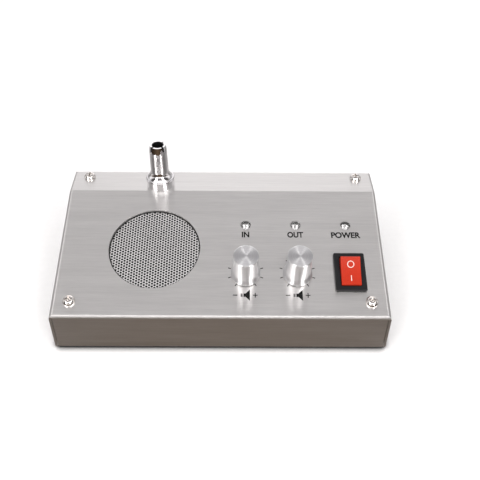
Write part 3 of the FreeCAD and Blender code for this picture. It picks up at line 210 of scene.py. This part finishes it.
def round_about(centre, radius, angle):
    """A point of a circle, in the plane that its centre is given in."""
    return centre[0] + radius * math.cos(angle), centre[1] + radius * math.sin(angle)


def add_object(name, data):
    thing = bpy.data.objects.new(name, data)
    bpy.context.scene.collection.objects.link(thing)
    return thing


def add_mesh(name, points, faces, material):
    mesh = bpy.data.meshes.new(name)
    mesh.from_pydata(points, [], faces)
    mesh.materials.append(material)
    return add_object(name, mesh)


# Node trees

class Tree:
    """A node tree, and the nodes that the materials and the room are made of."""

    mix_sockets = {"VECTOR": (4, 5, 1), "RGBA": (6, 7, 2)}

    def __init__(self, tree):
        self.tree = tree
        tree.nodes.clear()

    def add(self, kind, **settings):
        node = self.tree.nodes.new("ShaderNode" + kind)
        for name, value in settings.items():
            setattr(node, name, value)
        return node

    def put(self, socket, value):
        """Link an output to a socket, or give the socket a value."""
        if isinstance(value, bpy.types.NodeSocket):
            self.tree.links.new(value, socket)
        else:
            socket.default_value = value

    def vector(self, operation, *values):
        node = self.add("VectorMath", operation=operation)
        for socket, value in zip(node.inputs, values):
            self.put(socket, value)
        return node.outputs["Value" if operation in ("LENGTH", "DOT_PRODUCT") else "Vector"]

    def number(self, operation, *values):
        node = self.add("Math", operation=operation)
        for socket, value in zip(node.inputs, values):
            self.put(socket, value)
        return node.outputs[0]

    def mix(self, kind, factor, first, second):
        """Go from one vector (kind VECTOR) or colour (kind RGBA) to another."""
        first_input, second_input, result = self.mix_sockets[kind]
        node = self.add("Mix", data_type=kind)
        self.put(node.inputs["Factor"], factor)
        self.put(node.inputs[first_input], first)
        self.put(node.inputs[second_input], second)
        return node.outputs[result]

    def ramp(self, factor, *stops):
        """A colour ramp. Each stop is a position with a colour or a grey."""
        node = self.add("ValToRGB")
        elements = node.color_ramp.elements
        while len(elements) < len(stops):
            elements.new(0.5)
        for element, (position, colour) in zip(elements, stops):
            element.position = position
            element.color = (*(colour if isinstance(colour, tuple) else [colour] * 3), 1.0)
        self.put(node.inputs[0], factor)
        return node.outputs[0]

    def span(self, factor, low=0.0, high=1.0, start=0.0, end=1.0):
        """Spread a factor that runs from start to end over the range from low to high."""
        node = self.add("MapRange")
        for name, value in (("Value", factor), ("From Min", start), ("From Max", end),
                            ("To Min", low), ("To Max", high)):
            self.put(node.inputs[name], value)
        return node.outputs[0]


class Material(Tree):
    """A material with one principled shader, laid out by the object's own coordinates."""

    def __init__(self, name):
        self.material = bpy.data.materials.new(name)
        self.material.use_nodes = True
        super().__init__(self.material.node_tree)
        self.shader = self.add("BsdfPrincipled")
        self.put(self.add("OutputMaterial").inputs[0], self.shader.outputs[0])
        coordinates = self.add("TexCoord")
        self.place = coordinates.outputs["Object"]
        self.normal = coordinates.outputs["Normal"]

    def set(self, **values):
        """Shader inputs by name, with _ for a space."""
        for name, value in values.items():
            self.put(self.shader.inputs[name.replace("_", " ")], value)

    def noise(self, place, scale=1.0, detail=2.0, roughness=0.5):
        node = self.add("TexNoise")
        for name, value in (("Vector", place), ("Scale", scale), ("Detail", detail),
                            ("Roughness", roughness)):
            self.put(node.inputs[name], value)
        return node.outputs["Fac"]

    def mottle(self, factor, colour, spread):
        """A colour that a noise makes a little darker and a little lighter."""
        return self.ramp(factor, *zip(MOTTLE, shades(colour, spread)))

    def wander(self, factor, roughness, swing):
        """Roughness that a noise takes a little under and a little over its mean."""
        self.set(Roughness=self.span(factor, roughness - swing, roughness + swing))

    def facing(self, axis):
        """How squarely a surface faces an axis, from 0 to 1."""
        return self.number("ABSOLUTE", self.vector("DOT_PRODUCT", self.normal, axis))

    def bump(self, height, distance, strength):
        """Give the surface a relief, its distance in metres, and return the finished material."""
        node = self.add("Bump")
        for name, value in (("Height", height), ("Distance", distance), ("Strength", strength)):
            self.put(node.inputs[name], value)
        self.put(self.shader.inputs["Normal"], node.outputs[0])
        return self.material


def shades(colour, spread):
    """Two colours, a little darker and a little lighter."""
    return (tuple(c * (1 - spread) for c in colour),
            tuple(min(c * (1 + spread), 1.0) for c in colour))


def brushed_metal(name, colour, streak=0.08, roughness=0.31, anisotropic=0.92):
    """Sheet brushed along X; the grain runs down the side flanges with the fold."""
    g = Material(name)
    sideways = g.number("GREATER_THAN", g.facing(X), SQUARELY)
    grain = g.mix("VECTOR", sideways,
                  g.vector("MULTIPLY", g.place, (GRAIN_ALONG, GRAIN_ACROSS, GRAIN_ACROSS)),
                  g.vector("MULTIPLY", g.place, (GRAIN_ACROSS, GRAIN_ACROSS, GRAIN_ALONG)))
    broad = g.noise(grain, detail=3.0, roughness=0.6)
    fine = g.noise(g.vector("MULTIPLY", grain, (3.0, 4.0, 4.0)))
    patches = g.noise(g.vector("MULTIPLY", grain, (0.3, 0.25, 0.25)))
    marks = g.number("MULTIPLY", broad, 0.4)
    for layer, share in ((fine, 0.25), (patches, 0.35)):
        marks = g.number("ADD", marks, g.number("MULTIPLY", layer, share))
    # The small addend keeps this direction from vanishing where the sheet faces X
    across = g.vector("ADD", g.vector("CROSS_PRODUCT", g.normal, X), (0, 0.001, 0))
    g.set(Base_Color=g.mottle(marks, colour, streak), Metallic=1.0, Anisotropic=anisotropic,
          Tangent=across)
    g.wander(marks, roughness, swing=0.06)
    return g.bump(marks, distance=0.00002, strength=0.35)


def punched_sheet(name, colour, painted_wall_shade, spread=0.04):
    """Smooth sheet whose punched hole walls are painted near black as shade."""
    g = Material(name)
    clouds = g.noise(g.place, scale=700.0, detail=3.0)
    # Painted shade: the punched hole walls, which don't face the panel's normal, get a near-black
    # colour.
    painted_hole_shade_mask = g.number("LESS_THAN", g.facing(NORMAL), SQUARELY)
    shade = g.mix("RGBA", painted_hole_shade_mask, g.mottle(clouds, colour, spread), (*painted_wall_shade, 1.0))
    g.set(Base_Color=shade, Metallic=1.0, Roughness=g.span(clouds, low=0.42, high=0.5))
    return g.bump(clouds, distance=0.000005, strength=0.3)


def turned_metal(name, colour, centre, axis, roughness=0.3, rings=2500.0):
    """Lathe-turned metal: fine rings about an axis."""
    g = Material(name)
    arm = g.vector("SUBTRACT", g.place, centre)
    round_way = g.vector("CROSS_PRODUCT", axis, arm)
    turned = g.add("CombineXYZ")
    g.put(turned.inputs[0], g.vector("LENGTH", round_way))
    g.put(turned.inputs[1], g.vector("DOT_PRODUCT", arm, axis))
    marks = g.noise(turned.outputs[0], scale=rings, detail=3.0)
    across = g.add("VectorTransform", vector_type="VECTOR", convert_from="OBJECT",
                   convert_to="WORLD")
    g.put(across.inputs[0], g.vector("CROSS_PRODUCT", g.normal, round_way))
    g.set(Base_Color=g.mottle(marks, colour, spread=0.05), Metallic=1.0, Anisotropic=1.0,
          Tangent=across.outputs[0])
    g.wander(marks, roughness, swing=0.06)
    return g.bump(marks, distance=0.000004, strength=0.15)


def plated(name, colour, roughness, wear=0.05, scale=900.0):
    """Smooth plate with faint clouds and fine scratches."""
    g = Material(name)
    clouds = g.noise(g.place, scale=scale, detail=4.0, roughness=0.6)
    g.set(Base_Color=g.mottle(clouds, colour, wear), Metallic=1.0,
          Roughness=g.span(clouds, low=roughness * 0.6, high=roughness * 1.6))
    return g.bump(clouds, distance=0.000004, strength=0.3)


def socket_chrome(name, colour, painted_bore_shade, axis_place, bore_radius):
    """Bright chrome whose bore is rougher and painted near black as shade."""
    g = Material(name)
    clouds = g.noise(g.place, scale=900.0, detail=4.0, roughness=0.6)
    flat_arm = g.vector("MULTIPLY", g.vector("SUBTRACT", g.place, axis_place), (1, 1, 0))
    inside = g.number("LESS_THAN", g.vector("LENGTH", flat_arm), bore_radius)
    dullness = g.number("MULTIPLY", inside, 0.4)
    roughness = g.number("ADD", g.span(clouds, low=0.05, high=0.11), dullness)
    # Painted shade: inside the bore the chrome's colour turns near black.
    shade = g.mix("RGBA", inside, g.mottle(clouds, colour, spread=0.03), (*painted_bore_shade, 1.0))
    g.set(Base_Color=shade, Roughness=roughness, Metallic=1.0)
    return g.bump(clouds, distance=0.000004, strength=0.3)


def moulded(name, colour, roughness, grain=2600.0, depth=0.00001, gloss=0.5, spread=0.08):
    """Moulded plastic or rubber with a fine texture."""
    g = Material(name)
    texture = g.noise(g.place, scale=grain, detail=3.0)
    broad = g.noise(g.place, scale=grain / 14)
    g.set(Base_Color=g.mottle(broad, colour, spread), Specular_IOR_Level=gloss)
    g.wander(texture, roughness, swing=0.07)
    return g.bump(texture, distance=depth, strength=0.4)


def woven(name, colour, pitch):
    """Plain weave in the plane of the panel."""
    g = Material(name)
    waves = []
    for way in (X, UP_SLOPE):
        turn = g.number("MULTIPLY", g.vector("DOT_PRODUCT", g.place, way), math.pi / pitch)
        waves.append(g.number("SINE", turn))
    weave = g.number("MULTIPLY", *waves)
    dark, light = shades(colour, spread=0.35)
    shade = g.ramp(g.span(weave, low=0.5, high=1.0), (0.0, dark), (1.0, light))
    g.set(Base_Color=shade, Roughness=0.9, Specular_IOR_Level=0.2)
    return g.bump(weave, distance=0.00005, strength=0.7)


def clear_plastic(name):
    """Water-clear epoxy with faint flow lines."""
    g = Material(name)
    flow = g.noise(g.place, scale=700.0)
    g.set(Base_Color=g.ramp(flow, *zip(MOTTLE, (0.97, 1.0))), IOR=1.5, Transmission_Weight=1.0,
          Roughness=g.span(flow, low=0.01, high=0.04))
    return g.bump(flow, distance=0.00001, strength=0.2)


def circuit_board(name, dark, light):
    """Solder mask over faint copper tracks."""
    g = Material(name)
    brick = g.add("TexBrick")
    for socket, value in (("Vector", g.place), ("Scale", 90.0), ("Mortar Size", 0.09)):
        g.put(brick.inputs[socket], value)
    tracks = brick.outputs["Fac"]
    weave = g.noise(g.place, scale=1800.0)
    g.set(Base_Color=g.ramp(tracks, (0.0, dark), (1.0, light)), Coat_Weight=0.4,
          Coat_Roughness=0.15, Roughness=g.span(weave, low=0.3, high=0.45))
    return g.bump(tracks, distance=0.00003, strength=0.5)


def ink(name, colour):
    """Screen-printed ink with fine pits."""
    g = Material(name)
    pits = g.noise(g.place, scale=6000.0)
    g.set(Base_Color=g.mottle(pits, colour, spread=0.15), Specular_IOR_Level=0.15,
          Roughness=g.span(pits, low=0.6, high=0.75))
    return g.bump(pits, distance=0.000003, strength=0.3)


def floor_paper():
    """Pale paper with a painted contact shadow that darkens it right beside what stands on it."""
    g = Material("floor_paper")
    fibre = g.noise(g.place, scale=300.0, detail=3.0)
    # Painted shadow: ambient occlusion near the case darkens the paper's colour.
    painted_shadow_occlusion = g.add("AmbientOcclusion", samples=16)
    g.put(painted_shadow_occlusion.inputs["Distance"], PAINTED_SHADOW_REACH)
    painted_shadow_factor = g.ramp(painted_shadow_occlusion.outputs["AO"], *PAINTED_SHADOW_RAMP)
    paper = g.ramp(fibre, *zip(MOTTLE, PAPER))
    g.set(Base_Color=g.vector("MULTIPLY", paper, painted_shadow_factor), Roughness=0.9)
    return g.material


# The CAD nodes and what they wear

def dress(material, *names):
    """Give CAD nodes a material."""
    for name in names:
        slots = nodes[name].data.materials
        slots.clear()
        slots.append(material)


dress(brushed_metal("brushed_steel", (0.72, 0.71, 0.7)), "top_cover")
# Grille: sheet colour, then the near-black painted shade of its hole walls.
dress(punched_sheet("grille_sheet", (0.96, 0.955, 0.95), (0.05, 0.05, 0.05)), "grille")
dress(plated("zinc_plate", (0.62, 0.63, 0.64), 0.3, 0.1), "base_plate", "front_brackets",
      "rear_posts", "speaker_basket", "speaker_top_plate", "speaker_yoke", "speaker_clamps",
      "pot_cases", "socket_washer")
dress(plated("nickel_plate", (0.8, 0.77, 0.74), 0.12), "cover_screws", "base_screws",
      "speaker_nuts", "pot_washers", "pot_nuts", "pot_terminals", "led_board_screws",
      "board_screws", "socket_nut", "jack_nuts")
# Socket: chrome colour, then the near-black painted shade inside its bore.
dress(socket_chrome("chrome_plate", (0.86, 0.85, 0.86), (0.06, 0.06, 0.062), SOCKET_PLACE,
                    SOCKET_BORE), "mic_socket")
dress(plated("brass", (0.78, 0.6, 0.3), 0.25, 0.1), "socket_pins", "board_standoffs",
      "switch_blades", "contact_lever", "speaker_tags")
dress(plated("spring_steel", (0.7, 0.7, 0.7), 0.2), "rocker_spring", "set_screw_in",
      "set_screw_out", "pot_shaft_in", "pot_shaft_out")
dress(plated("copper", (0.75, 0.36, 0.2), 0.3, 0.15), "voice_coil")
dress(moulded("ferrite", (0.08, 0.08, 0.085), 0.6, 1200.0), "speaker_magnet")
dress(moulded("black_nylon", (0.008, 0.008, 0.009), 0.3, gloss=0.33), "switch_housing",
      "socket_insulator", "dc_jack", "audio_jacks", "amplifier_chips", "voltage_regulator")
dress(moulded("red_polycarbonate", (0.36, 0.021, 0.007), 0.32, 900.0, 0.000004, gloss=0.2,
              spread=0.04), "switch_rocker")
dress(moulded("white_nylon", (0.8, 0.79, 0.74), 0.45), "board_connectors", "rocker_plunger")
dress(moulded("phenolic", (0.3, 0.15, 0.06), 0.5, 1500.0), "pot_wafers")
dress(moulded("can_sleeve", (0.02, 0.02, 0.04), 0.25, 900.0), "capacitors")
dress(moulded("foot_rubber", (0.02, 0.02, 0.02), 0.7, 1800.0, 0.00003), "rubber_feet")
dress(moulded("cone_paper", (0.045, 0.04, 0.036), 0.85, 2500.0, 0.00005, spread=0.2),
      "speaker_cone", "dust_cap")
dress(moulded("lead_vinyl", (0.35, 0.03, 0.03), 0.4, 1500.0), "inner_leads")
dress(clear_plastic("clear_epoxy"), "led_in", "led_out", "led_power")
dress(circuit_board("green_mask", (0.012, 0.16, 0.05), (0.03, 0.28, 0.09)), "main_board")
dress(circuit_board("white_mask", (0.62, 0.62, 0.6), (0.78, 0.78, 0.76)), "led_board")
for side in KNOB_US:
    knob_centre = Vector(joints[f"knob_{side}_turn"]["pos_m"])
    dress(turned_metal("turned_knob_" + side, (0.8, 0.8, 0.81), knob_centre, NORMAL),
          "volume_knob_" + side)


# Turned and round pieces that the scene adds or replaces

def lathed(name, place, profile, body, material, steps, closed=True):
    """A profile turned about the panel's normal at a place (u, v)."""
    points = []
    rings = []
    for radius, n in profile:
        count = steps if radius else 1
        ring = [len(points) + i for i in range(count)]
        rings.append(ring if radius else ring * steps)
        for i in range(count):
            points.append(on_panel(*round_about(place, radius, FULL_TURN * i / steps), n))
    faces = []
    for low, high in list(zip(rings, rings[1:])) + ([(rings[-1], rings[0])] if closed else []):
        for i in range(steps):
            j = (i + 1) % steps
            face = tuple(dict.fromkeys((low[i], low[j], high[j], high[i])))
            if len(face) > 2:
                faces.append(face)
    piece = add_mesh(name, points, faces, material)
    piece.data.polygons.foreach_set("use_smooth", [True] * len(faces))
    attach(piece, body)
    return piece


def foam_ring():
    """The speaker's gasket: closed foam, a little rounded where nothing squeezes it."""
    low, high = GASKET_HEIGHTS
    inner, outer = GASKET_RADII
    r = FOAM_ROUND
    corners = ((outer - r, high - r), (inner + r, high - r), (inner + r, low + r),
               (outer - r, low + r))
    profile = []
    for corner, centre in enumerate(corners):
        for i in range(FOAM_CORNER_STEPS + 1):
            angle = math.radians(90 * corner + 90 / FOAM_CORNER_STEPS * i)
            profile.append(round_about(centre, r, angle))
    foam = lathed("foam_ring", SPEAKER_PLACE, profile, "case", foam_material,
                  steps=RIM_STEPS)
    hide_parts("speaker_gasket")


def speaker_cloth():
    """Acoustic cloth stretched between the grille and the foam, with its faint waves."""
    low, high = CLOTH_HEIGHTS
    radii = [CLOTH_RADIUS * i / CLOTH_RINGS for i in range(CLOTH_RINGS + 1)]
    waves = [CLOTH_WAVE * math.sin(i * CLOTH_WAVE_STEP) for i in range(CLOTH_RINGS)] + [0.0]
    top = [(radius, high - CLOTH_WAVE + wave) for radius, wave in zip(radii, waves)]
    under = [(radius, low + CLOTH_WAVE + wave) for radius, wave in zip(radii, waves)]
    cloth = lathed("speaker_cloth", SPEAKER_PLACE, under + top[::-1], "case",
                   cloth_material, closed=False, steps=CLOTH_STEPS)
    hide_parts("grille_cloth")


def light_frames():
    """The reflector cup and the chip in it, cast inside each clear lens."""
    for name, u in LIGHT_PLACES.items():
        lathed("light_cup_" + name, (u, LIGHT_V), LIGHT_CUP, "case", cup_material,
               closed=False, steps=CUP_STEPS)
        lathed("light_chip_" + name, (u, LIGHT_V), LIGHT_CHIP, "case", chip_material,
               closed=False, steps=CHIP_STEPS)


def flexing_ring(name, node, profile, material):
    """A soft ring from the case to the cone, built in separate sectors.

    The profile's heights start at the lowest point of the CAD node that the ring replaces.
    """
    base = min((v.co - PANEL).dot(NORMAL) for v in nodes[node].data.vertices) / MM
    count = len(profile)
    faces = [tuple(reversed(range(count))),
             tuple(range(FLEX_STEPS * count, (FLEX_STEPS + 1) * count))]
    for low in range(0, FLEX_STEPS * count, count):
        for k in range(count):
            j = (k + 1) % count
            faces.append((low + k, low + j, low + count + j, low + count + k))

    def spot(radius, turn, n=0.0):
        angle = FULL_TURN * turn / FLEX_SECTORS
        return on_panel(*round_about(SPEAKER_PLACE, radius, angle), base + n)

    for sector in range(FLEX_SECTORS):
        points = [spot(radius, sector + i / FLEX_STEPS, n)
                  for i in range(FLEX_STEPS + 1) for radius, n in profile]
        piece = add_mesh(f"{name}_{sector + 1:02d}", points, faces, material)
        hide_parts(node)
        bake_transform(piece)


def surround_ring():
    """Half-round rubber roll between a flat land on the rim and one on the cone."""
    roll = (ROLL_RADII[1] - ROLL_RADII[0]) / 2
    middle = (ROLL_RADII[0] + ROLL_RADII[1]) / 2
    angles = [math.pi * i / ROLL_STEPS for i in range(ROLL_STEPS + 1)]
    over = [round_about((middle, SOFT_SHEET), roll, angle) for angle in angles]
    under = [(middle - (roll - SOFT_SHEET) * math.cos(angle), roll * math.sin(angle))
             for angle in angles]
    profile = [(SURROUND_RADII[1], 0), (SURROUND_RADII[1], SOFT_SHEET), *over,
               (SURROUND_RADII[0], SOFT_SHEET), (SURROUND_RADII[0], 0), *under]
    flexing_ring("surround", "speaker_surround", profile,
                 surround_material)


def spider_ring():
    """Rippled cloth disc round the coil former."""
    inner, outer = SPIDER_RADII
    under = []
    for i in range(SPIDER_STEPS + 1):
        share = i / SPIDER_STEPS
        ripple = SPIDER_WAVE * math.sin(math.pi * SPIDER_FOLDS / 2 * share) ** 2
        under.append((outer - (outer - inner) * share, ripple))
    over = [(radius, n + SOFT_SHEET) for radius, n in under]
    profile = [(SPIDER_EDGE, 0), (SPIDER_EDGE, SOFT_SHEET), *over, *under[::-1]]
    flexing_ring("spider_ring", "spider", profile,
                 spider_material)


foam_material = moulded("foam", (0.035, 0.035, 0.035), 0.93, 1500.0, 0.0002)
cloth_material = woven("acoustic_cloth", (0.006, 0.006, 0.0065), 0.00035)
cup_material = plated("silvered_cup", (0.3, 0.3, 0.3), 0.3, 0.4, 2500.0)
chip_material = moulded("light_chip", (0.6, 0.55, 0.3), 0.4)
surround_material = moulded("surround_rubber", (0.02, 0.02, 0.02), 0.5, 2000.0)
spider_material = woven("spider_cloth", (0.5, 0.33, 0.13), 0.0004)
seal_material = moulded("seal_rubber", (0.015, 0.015, 0.015), 0.7, 2000.0)
foam_ring()
speaker_cloth()
surround_ring()
spider_ring()
light_frames()
lathed("grille_seal", SPEAKER_PLACE, SEAL, "case", seal_material, steps=RIM_STEPS)


# Printed marks: (points, faces) in millimetres on the panel

def bar(start, end, width, steps=1):
    """A straight stroke between two points."""
    a = Vector(start)
    b = Vector(end)
    side = Vector((a.y - b.y, b.x - a.x)).normalized() * width / 2
    points = []
    for i in range(steps + 1):
        middle = a.lerp(b, i / steps)
        points += [tuple(middle - side), tuple(middle + side)]
    return points, [(2 * i, 2 * i + 2, 2 * i + 3, 2 * i + 1) for i in range(steps)]


def hoop(centre, outer, inner, count=40):
    """A flat ring."""
    points = []
    faces = []
    for i in range(count):
        points += [round_about(centre, radius, FULL_TURN * i / count) for radius in (inner, outer)]
        j = (i + 1) % count
        faces.append((2 * i, 2 * i + 1, 2 * j + 1, 2 * j))
    return points, faces


def horn(u, v):
    """The loudspeaker sign's body and cone."""
    lower = [(u + step, v - half) for step, half in zip(HORN_US, HORN_HALVES)]
    upper = [(u + step, v + half) for step, half in zip(HORN_US, HORN_HALVES)]
    return lower + upper[::-1], [(0, 1, 4, 5), (1, 2, 3, 4)]


def together(*shapes):
    points = []
    faces = []
    for more_points, more_faces in shapes:
        faces += [tuple(i + len(points) for i in face) for face in more_faces]
        points += more_points
    return points, faces


def volume_marks(u, v):
    """Minus, a small loudspeaker sign and plus, below a knob."""
    coil = [bar((u + step, v - COIL_HALF), (u + step, v + COIL_HALF), width)
            for step, width in COIL_BARS]
    return together(
        bar((u + MINUS_REACH[0], v), (u + MINUS_REACH[1], v), STROKE),
        *coil,
        horn(u, v),
        bar((u + PLUS_REACH[0], v), (u + PLUS_REACH[1], v), STROKE),
        bar((u + PLUS_MIDDLE, v - PLUS_HALF), (u + PLUS_MIDDLE, v + PLUS_HALF), STROKE),
    )


def dial_ticks(u, v):
    ticks = []
    for i in range(TICK_COUNT):
        angle = math.radians(TICK_START - TICK_STEP * i)
        ticks.append(bar(*[round_about((u, v), radius, angle) for radius in TICK_RADII], STROKE))
    return together(*ticks)


def words(text, u, v, width, height):
    """Plain lettering, stretched to its size and centred on (u, v)."""
    curve = bpy.data.curves.new("lettering", "FONT")
    curve.body = text
    curve.fill_mode = "BOTH"
    curve.offset = LETTER_WEIGHT
    holder = add_object("lettering", curve)
    bpy.context.view_layer.update()
    mesh = bpy.data.meshes.new_from_object(holder)
    xs = [p.co.x for p in mesh.vertices]
    ys = [p.co.y for p in mesh.vertices]
    wide = max(xs) - min(xs)
    tall = max(ys) - min(ys)
    points = [(u + ((x - min(xs)) / wide - 0.5) * width, v + ((y - min(ys)) / tall - 0.5) * height)
              for x, y in zip(xs, ys)]
    faces = [tuple(p.vertices) for p in mesh.polygons]
    bpy.data.objects.remove(holder)
    bpy.data.curves.remove(curve)
    bpy.data.meshes.remove(mesh)
    return points, faces


def printed(name, flat, node, body, material):
    """A thin print of flat, dropped along the panel's normal onto the node that carries it."""
    points, faces = flat
    mesh = nodes[node].data
    surface = BVHTree.FromPolygons([v.co for v in mesh.vertices],
                                   [p.vertices[:] for p in mesh.polygons])
    lower = []
    upper = []
    for u, v in points:
        hit, normal, _, _ = surface.ray_cast(on_panel(u, v, DROP_HEIGHT), -NORMAL)
        lower.append(hit)
        upper.append(hit + normal * PRINT_LIFT * MM)
    count = len(points)
    solid = [tuple(i + count for i in face) for face in faces]
    solid += [tuple(reversed(face)) for face in faces]
    edges = dict.fromkeys(edge for face in faces for edge in zip(face, face[1:] + face[:1]))
    solid += [(a, b, b + count, a + count) for a, b in edges if (b, a) not in edges]
    piece = add_mesh(name, lower + upper, solid, material)
    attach(piece, body)


def on_cover(name, flat):
    printed(name, flat, "top_cover", "case", black_ink)


def on_rocker(name, flat):
    printed(name, flat, "switch_rocker", "rocker", white_ink)


black_ink = ink("black_ink", (0.006, 0.006, 0.006))
white_ink = ink("white_ink", (0.6, 0.5, 0.47))
for label, lettering in LABELS.items():
    on_cover(label, words(*lettering))
for side, u in KNOB_US.items():
    on_cover("volume_marks_" + side, volume_marks(u, VOLUME_MARKS_V))
    on_cover("dial_ticks_" + side, dial_ticks(u, TICK_CENTRE_V))
on_rocker("rocker_ring", hoop((ROCKER_U, ROCKER_RING_V), *ROCKER_RING_RADII))
on_rocker("rocker_bar", bar((ROCKER_U, ROCKER_BAR_VS[0]), (ROCKER_U, ROCKER_BAR_VS[1]),
                            ROCKER_BAR_WIDTH, ROCKER_BAR_STEPS))


# Stage, light, room and camera

def plain_floor():
    corners = [(-FLOOR_HALF, -FLOOR_HALF, 0), (FLOOR_HALF, -FLOOR_HALF, 0),
               (FLOOR_HALF, FLOOR_HALF, 0), (-FLOOR_HALF, FLOOR_HALF, 0)]
    floor = add_mesh("floor", corners, [(0, 1, 2, 3)], floor_paper())
    floor.visible_glossy = False


def surroundings():
    """A pale room over a brown table, with two tall windows: what the bright metal reflects."""
    world = bpy.data.worlds.new("room")
    bpy.context.scene.world = world
    world.use_nodes = True
    g = Tree(world.node_tree)
    direction = g.add("SeparateXYZ")
    g.put(direction.inputs[0], g.add("TexCoord").outputs["Generated"])
    x, y, z = (direction.outputs[axis] for axis in "XYZ")
    height = g.span(z, start=-1.0)
    across = g.span(x, start=-1.0)
    ahead = g.span(y, start=AHEAD_EDGE, end=-AHEAD_EDGE)
    walls = g.mix("RGBA", ahead, g.ramp(height, *ROOM_BEHIND), g.ramp(height, *ROOM_AHEAD))
    aside = g.ramp(g.number("ABSOLUTE", x), *ROOM_ASIDE)
    windows = ahead
    for factor in (g.ramp(across, *WINDOWS_ACROSS), g.ramp(height, *WINDOWS_HEIGHT), WINDOW_LIGHT):
        windows = g.number("MULTIPLY", windows, factor)
    both = g.add("AddShader")
    for socket, colour, strength in zip(both.inputs, (walls, WINDOW_COLOUR), (aside, windows)):
        background = g.add("Background")
        g.put(background.inputs["Color"], colour)
        g.put(background.inputs["Strength"], strength)
        g.put(socket, background.outputs[0])
    g.put(g.add("OutputWorld").inputs[0], both.outputs[0])


def soft_box():
    up = OVERHEAD_ELEVATION
    back = Vector((0, -math.cos(up), math.sin(up)))
    light = bpy.data.lights.new("overhead", "AREA")
    light.shape = "RECTANGLE"
    light.size = OVERHEAD_SIDE
    light.size_y = OVERHEAD_SIDE
    light.energy = OVERHEAD_WATTS
    holder = add_object("overhead", light)
    holder.visible_glossy = False
    turn = back.to_track_quat("Z", "Y").to_matrix().to_4x4()
    holder.matrix_world = Matrix.Translation(back * OVERHEAD_DISTANCE) @ turn


def camera():
    back = Vector((math.sin(YAW) * math.cos(ELEVATION), -math.cos(YAW) * math.cos(ELEVATION),
                   math.sin(ELEVATION)))
    right = Z.cross(back).normalized()
    up = back.cross(right)
    tilted_right = right * math.cos(ROLL) + up * math.sin(ROLL)
    tilted_up = up * math.cos(ROLL) - right * math.sin(ROLL)
    spot = AIM + back * DISTANCE + tilted_right * OFF_CENTRE.x + tilted_up * OFF_CENTRE.y
    data = bpy.data.cameras.new("camera")
    data.sensor_width = SENSOR
    data.lens = FOCAL_PIXELS / IMAGE_SIDE * SENSOR
    data.clip_start = CLIP_START
    holder = add_object("camera", data)
    turn = Matrix((tilted_right, tilted_up, back)).transposed().to_4x4()
    holder.matrix_world = Matrix.Translation(spot) @ turn
    bpy.context.scene.camera = holder


plain_floor()
surroundings()
soft_box()
camera()
bpy.context.scene.view_settings.view_transform = "Standard"
